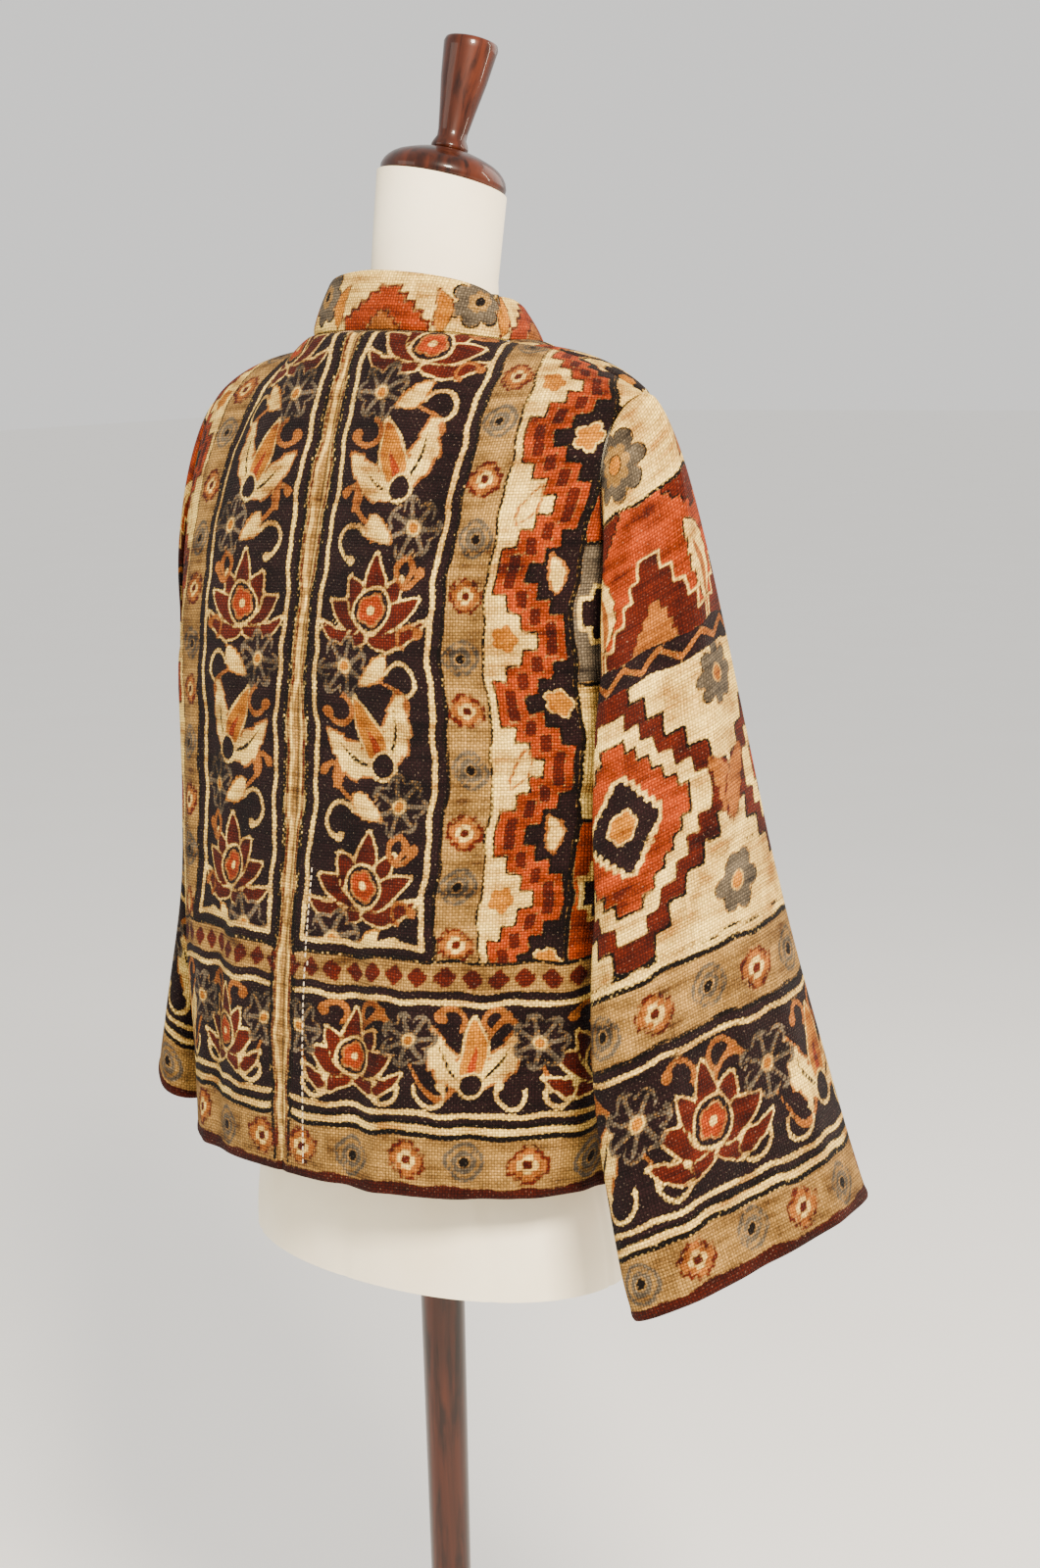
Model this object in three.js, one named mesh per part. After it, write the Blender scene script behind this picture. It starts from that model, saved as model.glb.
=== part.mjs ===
// Cotton jacket on a limbless dress form with a turned stand.
// Millimetres, +Z up. The figure faces -Y and its left hand side is +X.
// The origin is the middle of the stand's underside, on the floor.
import * as THREE from "three";

// Cloth
const WALL = 2.0; // thickness of the cloth wall
const SEAM_HALF = 0.2; // half the gap between two pieces sewn together
const ACROSS = 20; // cells from the centre line to the side
const BELOW = 10; // cells from the hem to the chest
const ABOVE = 12; // cells from the chest to the top, and along half an armhole
const ALONG = 16; // cells from the armhole to the cuff
const NECK_PART = 0.4; // share of a panel's top edge that is neckline, the rest is shoulder

// Body of the jacket: half widths and depths at the hem and the chest, "mid" is added halfway
const HEM_Z = 854;
const CHEST_Z = 1185;
const SIDE = { hem: 194, chest: 208, mid: -5 };
const BACK = { hem: 153, chest: 132, mid: 6 };
const FRONT = { hem: 146, chest: 142, mid: 2 };
const SQUARENESS = { hem: 2.3, chest: 2.25 }; // power of the section's superellipse
const HEM_DROP = { left: 30, right: 0 }; // how far the hem hangs lower at the side
const HEM_IN = { left: 8, right: 0 }; // how far the side seam swings inwards at the hem
const CENTRE_SWAY = 12; // how far the back seam swings to the left at the hem
const OPEN_FRONT = { hem: 14, neck: 3 }; // half the space between the two front edges

// Neckline, shoulders and armholes
const NAPE = { y: 58, z: 1447 };
const NECK_POINT = { x: 85, y: -2, z: 1437 };
const FRONT_NECK = { y: -104, z: 1402 };
const SHOULDER_TIP = { x: 207, y: -5, z: 1401 };
const SHOULDER_RISE = 7; // how far the shoulder seam arches above a straight line
const ROUNDNESS = { back: 1.25, front: 1.7, shoulder: 2.8 }; // power of the chest to top profile
const ARMHOLE_CUT = { back: 0.22, front: 0.22 }; // how far the armhole is cut into the panel

// Sleeves: centre of the cuff, its half width and depth, and the directions at both ends
const CUFF = { halfWidth: 102, halfDepth: 40, tilt: 0.164 };
const SLEEVE = {
  right: { x: 299, y: 9, z: 820, out: 20.3, back: 2.3, turn: 12, endOut: 17.9, endBack: -7.6, full: 70 },
  left: { x: 259, y: -22, z: 875, out: 14, back: 2.3, turn: 25, endOut: 5, endBack: 6, full: 40 },
};
const SLEEVE_REACH = 546; // length of the direction at the cuff
const CUFF_SAG = {
  right: { at: 0.16, width: 0.13, depth: 7 },
  left: { at: 0.3, width: 0.2, depth: 3 },
};
const START = {
  top: [165, 0, -87],
  under: [62, 0, -60],
  back: [105, 0, -55],
  front: [95, -34, -60],
};

// Collar: a standing band
const COLLAR = { backHeight: 41, sideHeight: 31, frontHeight: 18, lean: 15, bow: 1.5 };

// Largest folds. Depth is along the outward side, negative is a trough.
const BODY_FOLDS = [
  { piece: "back_right", u: 0.2, from: 0.0, to: 0.9, width: 0.06, depth: -3.5 },
  { piece: "back_right", u: 0.36, from: 0.1, to: 1.3, width: 0.05, depth: 3.0 },
  { piece: "back_right", u: 0.62, from: 0.0, to: 1.1, width: 0.06, depth: -5.0 },
  { piece: "back_right", u: 0.78, from: 0.0, to: 1.2, width: 0.05, depth: 4.0 },
  { piece: "back_left", u: 0.16, from: 0.0, to: 0.8, width: 0.05, depth: 3.0 },
  { piece: "back_left", u: 0.34, from: 0.0, to: 1.2, width: 0.06, depth: -5.0 },
  { piece: "back_left", u: 0.55, from: 0.2, to: 1.4, width: 0.06, depth: 4.0 },
  { piece: "back_left", u: 0.76, from: 0.0, to: 0.9, width: 0.06, depth: -4.0 },
  { piece: "front_right", u: 0.25, from: 0.0, to: 1.2, width: 0.07, depth: 5.0 },
  { piece: "front_right", u: 0.46, from: 0.0, to: 1.0, width: 0.06, depth: -5.5 },
  { piece: "front_right", u: 0.7, from: 0.0, to: 1.2, width: 0.06, depth: 4.5 },
  { piece: "front_left", u: 0.3, from: 0.0, to: 1.1, width: 0.07, depth: -5.0 },
  { piece: "front_left", u: 0.5, from: 0.0, to: 1.3, width: 0.06, depth: 5.5 },
  { piece: "front_left", u: 0.74, from: 0.0, to: 1.0, width: 0.06, depth: -4.0 },
];
const SLEEVE_FOLDS = [
  { piece: "sleeve_right", k: 0.35, from: 0.1, to: 0.75, width: 0.09, depth: -6.0 },
  { piece: "sleeve_right", k: 0.62, from: 0.25, to: 1.0, width: 0.08, depth: 4.0 },
  { piece: "sleeve_right", k: 0.86, from: 0.1, to: 0.6, width: 0.08, depth: -4.0 },
  { piece: "sleeve_right", k: 1.4, from: 0.15, to: 0.9, width: 0.1, depth: -5.0 },
  { piece: "sleeve_left", k: 0.4, from: 0.15, to: 0.9, width: 0.09, depth: 5.0 },
  { piece: "sleeve_left", k: 0.7, from: 0.1, to: 0.7, width: 0.08, depth: -5.0 },
  { piece: "sleeve_left", k: 0.78, from: 0.3, to: 1.0, width: 0.25, depth: -20.0 },
  { piece: "sleeve_left", k: 1.3, from: 0.2, to: 1.0, width: 0.1, depth: -5.0 },
];

// Dress form
const FORM_BOTTOM_Z = 762;
const FORM_CHEST_Z = 1190;
const FORM_SIDE = { hem: 166, chest: 168, mid: -46 };
const FORM_BACK = { hem: 106, chest: 98, mid: -18 };
const FORM_FRONT = { hem: 92, chest: 116, mid: -20 };
const FORM_CLEAR = 1.7; // how far its shoulder lies under the middle of the cloth
const FORM_NECK = { x: 58, backY: 36, frontY: -70, backZ: 1432, frontZ: 1404 };
const FORM_TIP_X = 188;
// The top of the neck leans to the front, turned a little to the right
const NECK_TUBE = { radius: 46.5, y: -23, z: 1478, topY: -34.5, topZ: 1548.5, lean: 15.6, turn: 19 };
const FORM_ROWS = 14;

// Turned pieces
const CAP = { radius: 46.4, height: 24 };
const FINIAL = { foot: 10.5, ring: 13, top: 20, height: 80.5 };
const POST = { radius: 17, flange: 52 };
const BASE = { radius: 180, height: 30 };
const ROUND = 40; // sides of a turned piece

const rad = (d) => (d * Math.PI) / 180;
const clamp = (x, a, b) => Math.min(Math.max(x, a), b);
const step = (a, b, x) => {
  const t = clamp((x - a) / (b - a), 0, 1);
  return t * t * (3 - 2 * t);
};
const mix = (a, b, t) => a + (b - a) * t;
const add = (a, b, s = 1) => [a[0] + b[0] * s, a[1] + b[1] * s, a[2] + b[2] * s];
const sub = (a, b) => [a[0] - b[0], a[1] - b[1], a[2] - b[2]];
const cross = (a, b) => [
  a[1] * b[2] - a[2] * b[1],
  a[2] * b[0] - a[0] * b[2],
  a[0] * b[1] - a[1] * b[0],
];
const dot = (a, b) => a[0] * b[0] + a[1] * b[1] + a[2] * b[2];
const unit = (a) => {
  const l = Math.hypot(...a) || 1;
  return [a[0] / l, a[1] / l, a[2] / l];
};

// Arch of the shoulder seam, at a share of its way from the neck to the tip.
function shoulderRise(share) {
  const s = clamp(share, 0, 1);
  return SHOULDER_RISE * Math.sin(Math.PI * s) ** 1.3;
}

// How far a point near the hem swings sideways.
const atHem = (v) => Math.max(1 - v, 0) ** 1.5;

// A value that changes from hem to chest with no slope at either end.
function along(size, v) {
  const s = Math.sin((v * Math.PI) / 2) ** 2;
  return mix(size.hem, size.chest, s) + size.mid * Math.sin(v * Math.PI) ** 2;
}

// Quarter of a superellipse: u 0 on the centre line, 1 on the side.
function quarter(u, halfWidth, depth, power) {
  const s = Math.sin((u * Math.PI) / 2);
  const c = Math.cos((u * Math.PI) / 2);
  const r = (s ** power + Math.max(c, 0) ** power) ** (1 / power);
  return [(halfWidth * s) / r, (depth * Math.max(c, 0)) / r];
}

// Top edge of a panel: neckline, then shoulder seam, for u 0 to 1.
function topEdge(u, back, cut) {
  const tau = (clamp(u / NECK_PART, 0, 1) * Math.PI) / 2;
  const sh = 1 - clamp((1 - u) / (1 - NECK_PART), 0, 1) ** 2;
  const end = back ? cut.nape : cut.frontNeck;
  const x = cut.neckPoint.x * Math.sin(tau) + (cut.tip.x - cut.neckPoint.x) * sh;
  const toTip = (cut.tip.y - cut.neckPoint.y) * sh;
  const y = cut.neckPoint.y + (end.y - cut.neckPoint.y) * Math.cos(tau) + toTip;
  const rise = 1 - Math.cos(tau) ** (back ? 1 : 3);
  const z = end.z + (cut.neckPoint.z - end.z) * rise + (cut.tip.z - cut.neckPoint.z) * sh + shoulderRise(sh);
  return [x, y, z];
}

// Plain form of one panel on the figure's left: v 0 hem, 1 chest, 2 top.
function panelForm(back, u, v, cut) {
  const low = clamp(v, 0, 1);
  const t = clamp(v - 1, 0, 1);
  const inset = (back ? cut.armhole.back : cut.armhole.front) * Math.sin(Math.PI * t) ** 0.75;
  const uu = u * (1 - (t > 0 && t < 1 ? inset : 0));
  const power = mix(cut.power.hem, cut.power.chest, low);
  const depth = along(back ? cut.back : cut.front, low);
  const [x, y] = quarter(uu, along(cut.side, low), depth, power);
  const at = [x, back ? y : -y, mix(cut.bottomZ, cut.chestZ, low)];
  if (t <= 0) return at;
  const q = topEdge(uu, back, cut);
  const m = mix(back ? ROUNDNESS.back : ROUNDNESS.front, ROUNDNESS.shoulder, uu);
  const g = Math.sin((t * Math.PI) / 2) ** (2 / m);
  const h = t >= 1 ? 0 : Math.cos((t * Math.PI) / 2) ** (2 / m);
  return [q[0] + (at[0] - q[0]) * h, q[1] + (at[1] - q[1]) * h, cut.chestZ + (q[2] - cut.chestZ) * g];
}

const JACKET = {
  side: SIDE,
  back: BACK,
  front: FRONT,
  power: SQUARENESS,
  bottomZ: HEM_Z,
  chestZ: CHEST_Z,
  nape: NAPE,
  neckPoint: NECK_POINT,
  frontNeck: FRONT_NECK,
  tip: SHOULDER_TIP,
  armhole: ARMHOLE_CUT,
};

// One panel of the jacket in place, before its folds.
function panelBase(name, u, v) {
  const back = name.startsWith("back");
  const left = name.endsWith("left");
  const p = panelForm(back, u, v, JACKET);
  p[2] -= (left ? HEM_DROP.left : HEM_DROP.right) * u * u * atHem(v);
  p[0] -= (left ? HEM_IN.left : HEM_IN.right) * u * u * atHem(v);
  if (!back) p[0] += mix(OPEN_FRONT.hem, OPEN_FRONT.neck, v / 2) * (1 - u) ** 2;
  const sway = back ? CENTRE_SWAY * (1 - u) ** 2 * atHem(v) : 0;
  return [(left ? p[0] : -p[0]) + sway, p[1], p[2]];
}

function normalOf(f, u, v, uMax, vMax, away) {
  const e = 0.012;
  const du = sub(f(Math.min(u + e, uMax), v), f(Math.max(u - e, 0), v));
  const dv = sub(f(u, Math.min(v + e, vMax)), f(u, Math.max(v - e, 0)));
  const n = unit(cross(du, dv));
  return dot(n, away) < 0 ? [-n[0], -n[1], -n[2]] : n;
}

function foldDepth(folds, name, u, v, column) {
  let d = 0;
  for (const f of folds) {
    if (f.piece !== name) continue;
    const across = (u - f[column]) / f.width;
    const reach = step(f.from - 0.08, f.from + 0.25, v) * (1 - step(f.to - 0.35, f.to, v));
    d += f.depth * Math.exp(-across * across) * reach;
  }
  return d;
}

function panelNormal(name, u, v) {
  const p = panelBase(name, u, v);
  const n = normalOf((a, b) => panelBase(name, a, b), u, v, 1, 2, [p[0], p[1] * 1.3, v > 1.6 ? 200 : 0]);
  if (u === 0) n[0] = 0;
  if (u === 1 && v <= 1) n[1] = 0;
  if (v === 2 && u >= NECK_PART) n[1] = 0;
  return unit(n);
}

function panelPoint(name, u, v) {
  const p = panelBase(name, u, v);
  const n = panelNormal(name, u, v);
  const still = step(0, 0.1, u) * step(0, 0.1, 1 - u) * (1 - step(1.6, 1.9, v));
  return add(p, n, foldDepth(BODY_FOLDS, name, u, v, "u") * still);
}

// Plain form of one sleeve: k runs round from the armpit (0) over the back to the shoulder (1)
// and down the front to the armpit (2), s from the armhole (0) to the cuff (1).
function sleeveForm(name, k, s) {
  const left = name.endsWith("left");
  const cut = left ? SLEEVE.left : SLEEVE.right;
  const back = k <= 1;
  const t = back ? k : 2 - k;
  const at = panelForm(back, 1, 1 + t, JACKET);
  const psi = k * Math.PI;
  const low = Math.max(Math.cos(psi), 0) ** 6;
  const high = Math.max(-Math.cos(psi), 0) ** 6;
  at[0] += 1.5 + 1.7 * low + 0.8 * high;
  at[2] += 0.7 * high - low;
  const run = unit([Math.tan(rad(cut.out)), Math.tan(rad(cut.back)), -1]);
  let wide = [Math.sin(rad(cut.turn)), -Math.cos(rad(cut.turn)), 0];
  wide = unit(add(wide, run, -dot(wide, run)));
  let deep = cross(run, wide);
  if (deep[0] < 0) deep = [-deep[0], -deep[1], -deep[2]];
  let end = add([cut.x, cut.y, cut.z], wide, -CUFF.halfWidth * Math.sin(psi));
  end = add(end, deep, -CUFF.halfDepth * Math.cos(psi));
  end[2] -= CUFF.tilt * CUFF.halfWidth * Math.sin(psi);
  const sag = left ? CUFF_SAG.left : CUFF_SAG.right;
  const away = ((k - sag.at + 1 + 2) % 2) - 1;
  end[2] -= sag.depth * Math.exp(-((away / sag.width) ** 2));
  const finish = unit([Math.tan(rad(cut.endOut)), Math.tan(rad(cut.endBack)), -1]);
  const share = {
    top: Math.max(-Math.cos(psi), 0) ** 2,
    under: Math.max(Math.cos(psi), 0) ** 2,
    back: Math.max(Math.sin(psi), 0) ** 2,
    front: Math.max(-Math.sin(psi), 0) ** 2,
  };
  let start = [0, cut.full * share.back, 0];
  for (const part of Object.keys(share)) start = add(start, START[part], share[part]);
  const h00 = 2 * s ** 3 - 3 * s ** 2 + 1;
  const h10 = s ** 3 - 2 * s ** 2 + s;
  const h01 = -2 * s ** 3 + 3 * s ** 2;
  const h11 = s ** 3 - s ** 2;
  let p = [at[0] * h00, at[1] * h00, at[2] * h00];
  p = add(add(add(p, start, h10), end, h01), finish, h11 * SLEEVE_REACH);
  return left ? p : [-p[0], p[1], p[2]];
}

function sleevePoint(name, k, s) {
  const n = sleeveNormal(name, k, s);
  const still = step(0.03, 0.2, s);
  return add(sleeveForm(name, k, s), n, foldDepth(SLEEVE_FOLDS, name, k, s, "k") * still);
}

function sleeveNormal(name, k, s) {
  const e = 0.012;
  const wrap = (x) => (x + 2) % 2;
  const dk = sub(sleeveForm(name, wrap(k + e), s), sleeveForm(name, wrap(k - e), s));
  const ds = sub(sleeveForm(name, k, Math.min(s + e, 1)), sleeveForm(name, k, Math.max(s - e, 0)));
  const n = unit(cross(dk, ds));
  const away = name.endsWith("left") ? 1 : -1;
  return [n[0] * away, n[1] * away, n[2] * away];
}

// Closed wall from a grid of points and the directions of its outer side.
// When round is true the last column joins the first.
function wallSolid(points, normals, round) {
  const rows = points.length;
  const cols = points[0].length;
  const pos = [];
  for (const side of [1, -1])
    for (let i = 0; i < rows; i++)
      for (let j = 0; j < cols; j++) pos.push(...add(points[i][j], normals[i][j], (side * WALL) / 2));
  const at = (side, i, j) => (side * rows + i) * cols + (j % cols);
  const idx = [];
  const quad = (a, b, c, d) => idx.push(a, b, c, a, c, d);
  const lastCol = round ? cols : cols - 1;
  for (let i = 0; i < rows - 1; i++)
    for (let j = 0; j < lastCol; j++) {
      quad(at(0, i, j), at(0, i, j + 1), at(0, i + 1, j + 1), at(0, i + 1, j));
      quad(at(1, i, j), at(1, i + 1, j), at(1, i + 1, j + 1), at(1, i, j + 1));
    }
  for (let j = 0; j < lastCol; j++) {
    quad(at(0, 0, j), at(1, 0, j), at(1, 0, j + 1), at(0, 0, j + 1));
    quad(at(0, rows - 1, j), at(0, rows - 1, j + 1), at(1, rows - 1, j + 1), at(1, rows - 1, j));
  }
  if (!round)
    for (let i = 0; i < rows - 1; i++) {
      quad(at(0, i, 0), at(0, i + 1, 0), at(1, i + 1, 0), at(1, i, 0));
      quad(at(0, i, cols - 1), at(1, i, cols - 1), at(1, i + 1, cols - 1), at(0, i + 1, cols - 1));
    }
  return solid(pos, idx);
}

// Geometry with its faces turned outwards.
function solid(pos, idx) {
  let volume = 0;
  const p = (i) => [pos[3 * i], pos[3 * i + 1], pos[3 * i + 2]];
  for (let i = 0; i < idx.length; i += 3) volume += dot(p(idx[i]), cross(p(idx[i + 1]), p(idx[i + 2])));
  if (volume < 0) for (let i = 0; i < idx.length; i += 3) [idx[i + 1], idx[i + 2]] = [idx[i + 2], idx[i + 1]];
  const g = new THREE.BufferGeometry();
  g.setAttribute("position", new THREE.BufferAttribute(new Float32Array(pos), 3));
  g.setIndex(idx);
  return g;
}

function panelRows() {
  const rows = [];
  for (let i = 0; i <= BELOW; i++) rows.push(i / BELOW);
  for (let i = 1; i <= ABOVE; i++) rows.push(1 + i / ABOVE);
  return rows;
}

function panel(name) {
  const x = name.endsWith("left") ? 1 : -1;
  const y = name.startsWith("back") ? 1 : -1;
  const points = [];
  const normals = [];
  for (const v of panelRows()) {
    const row = [];
    const out = [];
    for (let j = 0; j <= ACROSS; j++) {
      const u = j / ACROSS;
      const p = panelPoint(name, u, v);
      if (u === 0 && y > 0) p[0] = CENTRE_SWAY * atHem(v) + x * SEAM_HALF;
      if (u === 1 && v <= 1) p[1] = y * SEAM_HALF;
      if (v === 2 && u >= NECK_PART) p[1] += y * SEAM_HALF;
      row.push(p);
      out.push(panelNormal(name, u, v));
    }
    points.push(row);
    normals.push(out);
  }
  return wallSolid(points, normals, false);
}

function sleeve(name) {
  const points = [];
  const normals = [];
  for (let i = 0; i <= ALONG; i++) {
    const s = i / ALONG;
    const row = [];
    const out = [];
    for (let j = 0; j < 2 * ABOVE; j++) {
      row.push(sleevePoint(name, j / ABOVE, s));
      out.push(sleeveNormal(name, j / ABOVE, s));
    }
    points.push(row);
    normals.push(out);
  }
  return wallSolid(points, normals, true);
}

// Seam line of the collar, from the left front edge round the nape to the right front edge.
function necklineNodes() {
  const n = Math.round(NECK_PART * ACROSS);
  const nodes = [];
  const take = (name, j) => nodes.push(panelPoint(name, j / ACROSS, 2));
  for (let j = 0; j < n; j++) take("front_left", j);
  for (let j = n; j > 0; j--) take("back_left", j);
  for (let j = 0; j <= n; j++) take("back_right", j);
  for (let j = n - 1; j >= 0; j--) take("front_right", j);
  return nodes;
}

function collar() {
  const nodes = necklineNodes();
  const last = nodes.length - 1;
  const rows = [0, 0.33, 0.67, 1];
  const points = rows.map(() => []);
  const normals = rows.map(() => []);
  nodes.forEach((p, i) => {
    const a = nodes[Math.max(i - 1, 0)];
    const b = nodes[Math.min(i + 1, last)];
    let out = unit([-(b[1] - a[1]), b[0] - a[0], 0]);
    if (dot(out, [p[0], p[1] + 12, 0]) < 0) out = [-out[0], -out[1], 0];
    const up = unit(cross(unit(sub(b, a)), out)).map((c, _, all) => (all[2] < 0 ? -c : c));
    const round = Math.abs(i / last - 0.5) * 2;
    const sideways = Math.min(2 * round, 1);
    const forward = Math.max(2 * round - 1, 0);
    const behind = mix(COLLAR.backHeight, COLLAR.sideHeight, sideways ** 1.5);
    const height = mix(behind, COLLAR.frontHeight, forward);
    rows.forEach((r, j) => {
      const q = add(p, out, -COLLAR.lean * r + COLLAR.bow * Math.sin(Math.PI * r));
      for (let c = 0; c < 3; c++) q[c] += up[c] * (WALL / 2 + 0.4 + height * r);
      points[j].push(q);
      normals[j].push(unit(add(out, [0, 0, 1], (COLLAR.lean / height) * 0.8)));
    });
  });
  normals[0] = normals[0].map((n) => unit([n[0], n[1], 0]));
  return wallSolid(points, normals, false);
}

const FORM = {
  side: FORM_SIDE,
  back: FORM_BACK,
  front: FORM_FRONT,
  power: { hem: 2.1, chest: 2.2 },
  bottomZ: FORM_BOTTOM_Z,
  chestZ: FORM_CHEST_Z,
  armhole: { back: 0, front: 0 },
};

// Shoulder and neck line of the form: the jacket's own shoulder line, lowered.
function formTop(u, back) {
  const sh = clamp((u - NECK_PART) / (1 - NECK_PART), 0, 1);
  const tau = (clamp(u / NECK_PART, 0, 1) * Math.PI) / 2;
  const x = u < NECK_PART ? FORM_NECK.x * Math.sin(tau) : mix(FORM_NECK.x, FORM_TIP_X, sh);
  const share = (x - NECK_POINT.x) / (SHOULDER_TIP.x - NECK_POINT.x);
  const seamY = mix(NECK_POINT.y, SHOULDER_TIP.y, share);
  const rise = shoulderRise(1 - clamp(1 - share, 0, 1));
  const seamZ = mix(NECK_POINT.z, SHOULDER_TIP.z, share) + rise - FORM_CLEAR - 6 * step(0.75, 1, sh);
  if (u >= NECK_PART) return [x, seamY, seamZ];
  const endY = back ? FORM_NECK.backY : FORM_NECK.frontY;
  const endZ = back ? FORM_NECK.backZ : FORM_NECK.frontZ;
  return [x, seamY + (endY - seamY) * Math.cos(tau), endZ + (seamZ - endZ) * (1 - Math.cos(tau))];
}

function formPoint(back, u, v) {
  if (v <= 1) return panelForm(back, u, v, FORM);
  const t = v - 1;
  const at = panelForm(back, u, 1, FORM);
  const q = formTop(u, back);
  const m = back ? mix(1.4, 2.2, u) : mix(1.15, 2.0, u);
  const g = Math.sin((t * Math.PI) / 2) ** (2 / m);
  const h = t >= 1 ? 0 : Math.cos((t * Math.PI) / 2) ** (2 / m);
  return [q[0] + (at[0] - q[0]) * h, q[1] + (at[1] - q[1]) * h, FORM_CHEST_Z + (q[2] - FORM_CHEST_Z) * g];
}

// Rings of the form run: back centre, left side, front centre, right side.
function formTorso() {
  const n = 10;
  const pos = [];
  const idx = [];
  const seen = new Map();
  const vertex = (p) => {
    const key = p.map((c) => Math.round(c * 50)).join();
    if (!seen.has(key)) {
      seen.set(key, pos.length / 3);
      pos.push(...p);
    }
    return seen.get(key);
  };
  const ring = (v) => {
    const r = [];
    for (let j = 0; j < n; j++) r.push(formPoint(true, j / n, v));
    for (let j = n; j > 0; j--) r.push(formPoint(false, j / n, v));
    for (let j = 0; j < n; j++) r.push(formPoint(false, j / n, v).map((c, i) => (i ? c : -c)));
    for (let j = n; j > 0; j--) r.push(formPoint(true, j / n, v).map((c, i) => (i ? c : -c)));
    return r;
  };
  const face = (a, b, c) => {
    if (a !== b && b !== c && a !== c) idx.push(a, b, c);
  };
  const bridge = (low, high) => {
    const count = low.length;
    for (let j = 0; j < count; j++) {
      const k = (j + 1) % count;
      face(low[j], low[k], high[k]);
      face(low[j], high[k], high[j]);
    }
  };
  const rows = [];
  for (let i = 0; i <= FORM_ROWS; i++) rows.push(i / FORM_ROWS);
  for (let i = 1; i <= FORM_ROWS; i++) rows.push(1 + i / FORM_ROWS);
  const rings = rows.map((v) => ring(v).map(vertex));
  for (let i = 0; i + 1 < rings.length; i++) bridge(rings[i], rings[i + 1]);
  // Neck: from the neck part of the top ring to a round tube.
  const neckN = Math.round(NECK_PART * n);
  const top = ring(2);
  const pick = [];
  for (let j = 0; j <= neckN; j++) pick.push(j);
  for (let j = 2 * n - neckN; j <= 2 * n + neckN; j++) pick.push(j);
  for (let j = 4 * n - neckN; j < 4 * n; j++) pick.push(j);
  const apart = (p, i, all) => i === 0 || Math.hypot(...sub(p, all[i - 1])) > 0.5;
  const loop = pick.map((j) => top[j]).filter(apart);
  const middle = loop.reduce((a, p) => add(a, p, 1 / loop.length), [0, 0, 0]);
  const tube = (y, z, radius, slant) =>
    loop.map((p) => {
      const a = Math.atan2(p[1] - middle[1], p[0]);
      const rise = radius * Math.sin(a + rad(NECK_TUBE.turn)) * Math.tan(rad(slant));
      return [radius * Math.cos(a), y + radius * Math.sin(a), z + rise];
    });
  const first = tube(NECK_TUBE.y, NECK_TUBE.z, NECK_TUBE.radius, 0);
  let low = loop.map(vertex);
  for (let i = 1; i <= 5; i++) {
    const s = i / 5;
    const curve = s * s * 0.35 + s * 0.65;
    const rise = 1 - (1 - s) ** 1.2;
    const high = loop.map((p, j) => {
      const q = [mix(p[0], first[j][0], 1 - (1 - curve) ** 2.2), 0, mix(p[2], first[j][2], rise)];
      q[1] = mix(p[1], first[j][1], 1 - (1 - curve) ** 2.2);
      return vertex(q);
    });
    bridge(low, high);
    low = high;
  }
  for (let i = 1; i <= 3; i++) {
    const s = i / 3;
    const y = mix(NECK_TUBE.y, NECK_TUBE.topY, s);
    const z = mix(NECK_TUBE.z, NECK_TUBE.topZ, s);
    const high = tube(y, z, NECK_TUBE.radius, NECK_TUBE.lean * s).map(vertex);
    bridge(low, high);
    low = high;
  }
  const lid = vertex([0, NECK_TUBE.topY, NECK_TUBE.topZ]);
  low.forEach((a, j) => face(a, low[(j + 1) % low.length], lid));
  const under = vertex([0, 4, FORM_BOTTOM_Z]);
  rings[0].forEach((a, j) => face(rings[0][(j + 1) % rings[0].length], a, under));
  return solid(pos, idx);
}

// Turned piece from a profile of radius and height, both ends on the axis.
function turned(profile, sides = ROUND) {
  const g = new THREE.LatheGeometry(profile.map(([r, z]) => new THREE.Vector2(r, z)), sides);
  g.rotateX(Math.PI / 2);
  g.deleteAttribute("uv");
  g.deleteAttribute("normal");
  const pos = [];
  const idx = [];
  const count = profile.length;
  const raw = g.getAttribute("position");
  const find = [];
  for (let i = 0; i <= sides; i++)
    for (let j = 0; j < count; j++) {
      const k = i * count + j;
      const pole = profile[j][0] === 0;
      if (i === sides) find[k] = find[j];
      else if (pole && i > 0) find[k] = find[j];
      else {
        find[k] = pos.length / 3;
        pos.push(raw.getX(k), raw.getY(k), raw.getZ(k));
      }
    }
  const old = g.getIndex().array;
  for (let i = 0; i < old.length; i += 3) {
    const [a, b, c] = [find[old[i]], find[old[i + 1]], find[old[i + 2]]];
    if (a !== b && b !== c && a !== c) idx.push(a, b, c);
  }
  return solid(pos, idx);
}

const finish = (color, roughness) => new THREE.MeshStandardMaterial({ color, roughness, metalness: 0 });
const PRINTED_COTTON = finish(0x6b4a35, 0.9);
const FORM_COVER = finish(0xe8dcc4, 0.85);
const TURNED_WOOD = finish(0x3b1a14, 0.35);

function mesh(name, geometry, material) {
  const m = new THREE.Mesh(geometry, material);
  m.name = name;
  return m;
}

// Stands a turned piece on the slanted top of the neck, "up" above it.
function onNeck(piece, up, lift = 0.3) {
  piece.position.set(0, NECK_TUBE.topY, NECK_TUBE.topZ);
  piece.rotation.set(rad(NECK_TUBE.lean), 0, -rad(NECK_TUBE.turn), "ZXY");
  piece.translateOnAxis(new THREE.Vector3(0, 0, 1), up + lift);
  return piece;
}

const root = new THREE.Group();
for (const name of ["back_left", "back_right", "front_left", "front_right"])
  root.add(mesh(name, panel(name), PRINTED_COTTON));
for (const name of ["sleeve_left", "sleeve_right"]) root.add(mesh(name, sleeve(name), PRINTED_COTTON));
root.add(mesh("collar", collar(), PRINTED_COTTON));
root.add(mesh("form_torso", formTorso(), FORM_COVER));

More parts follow.
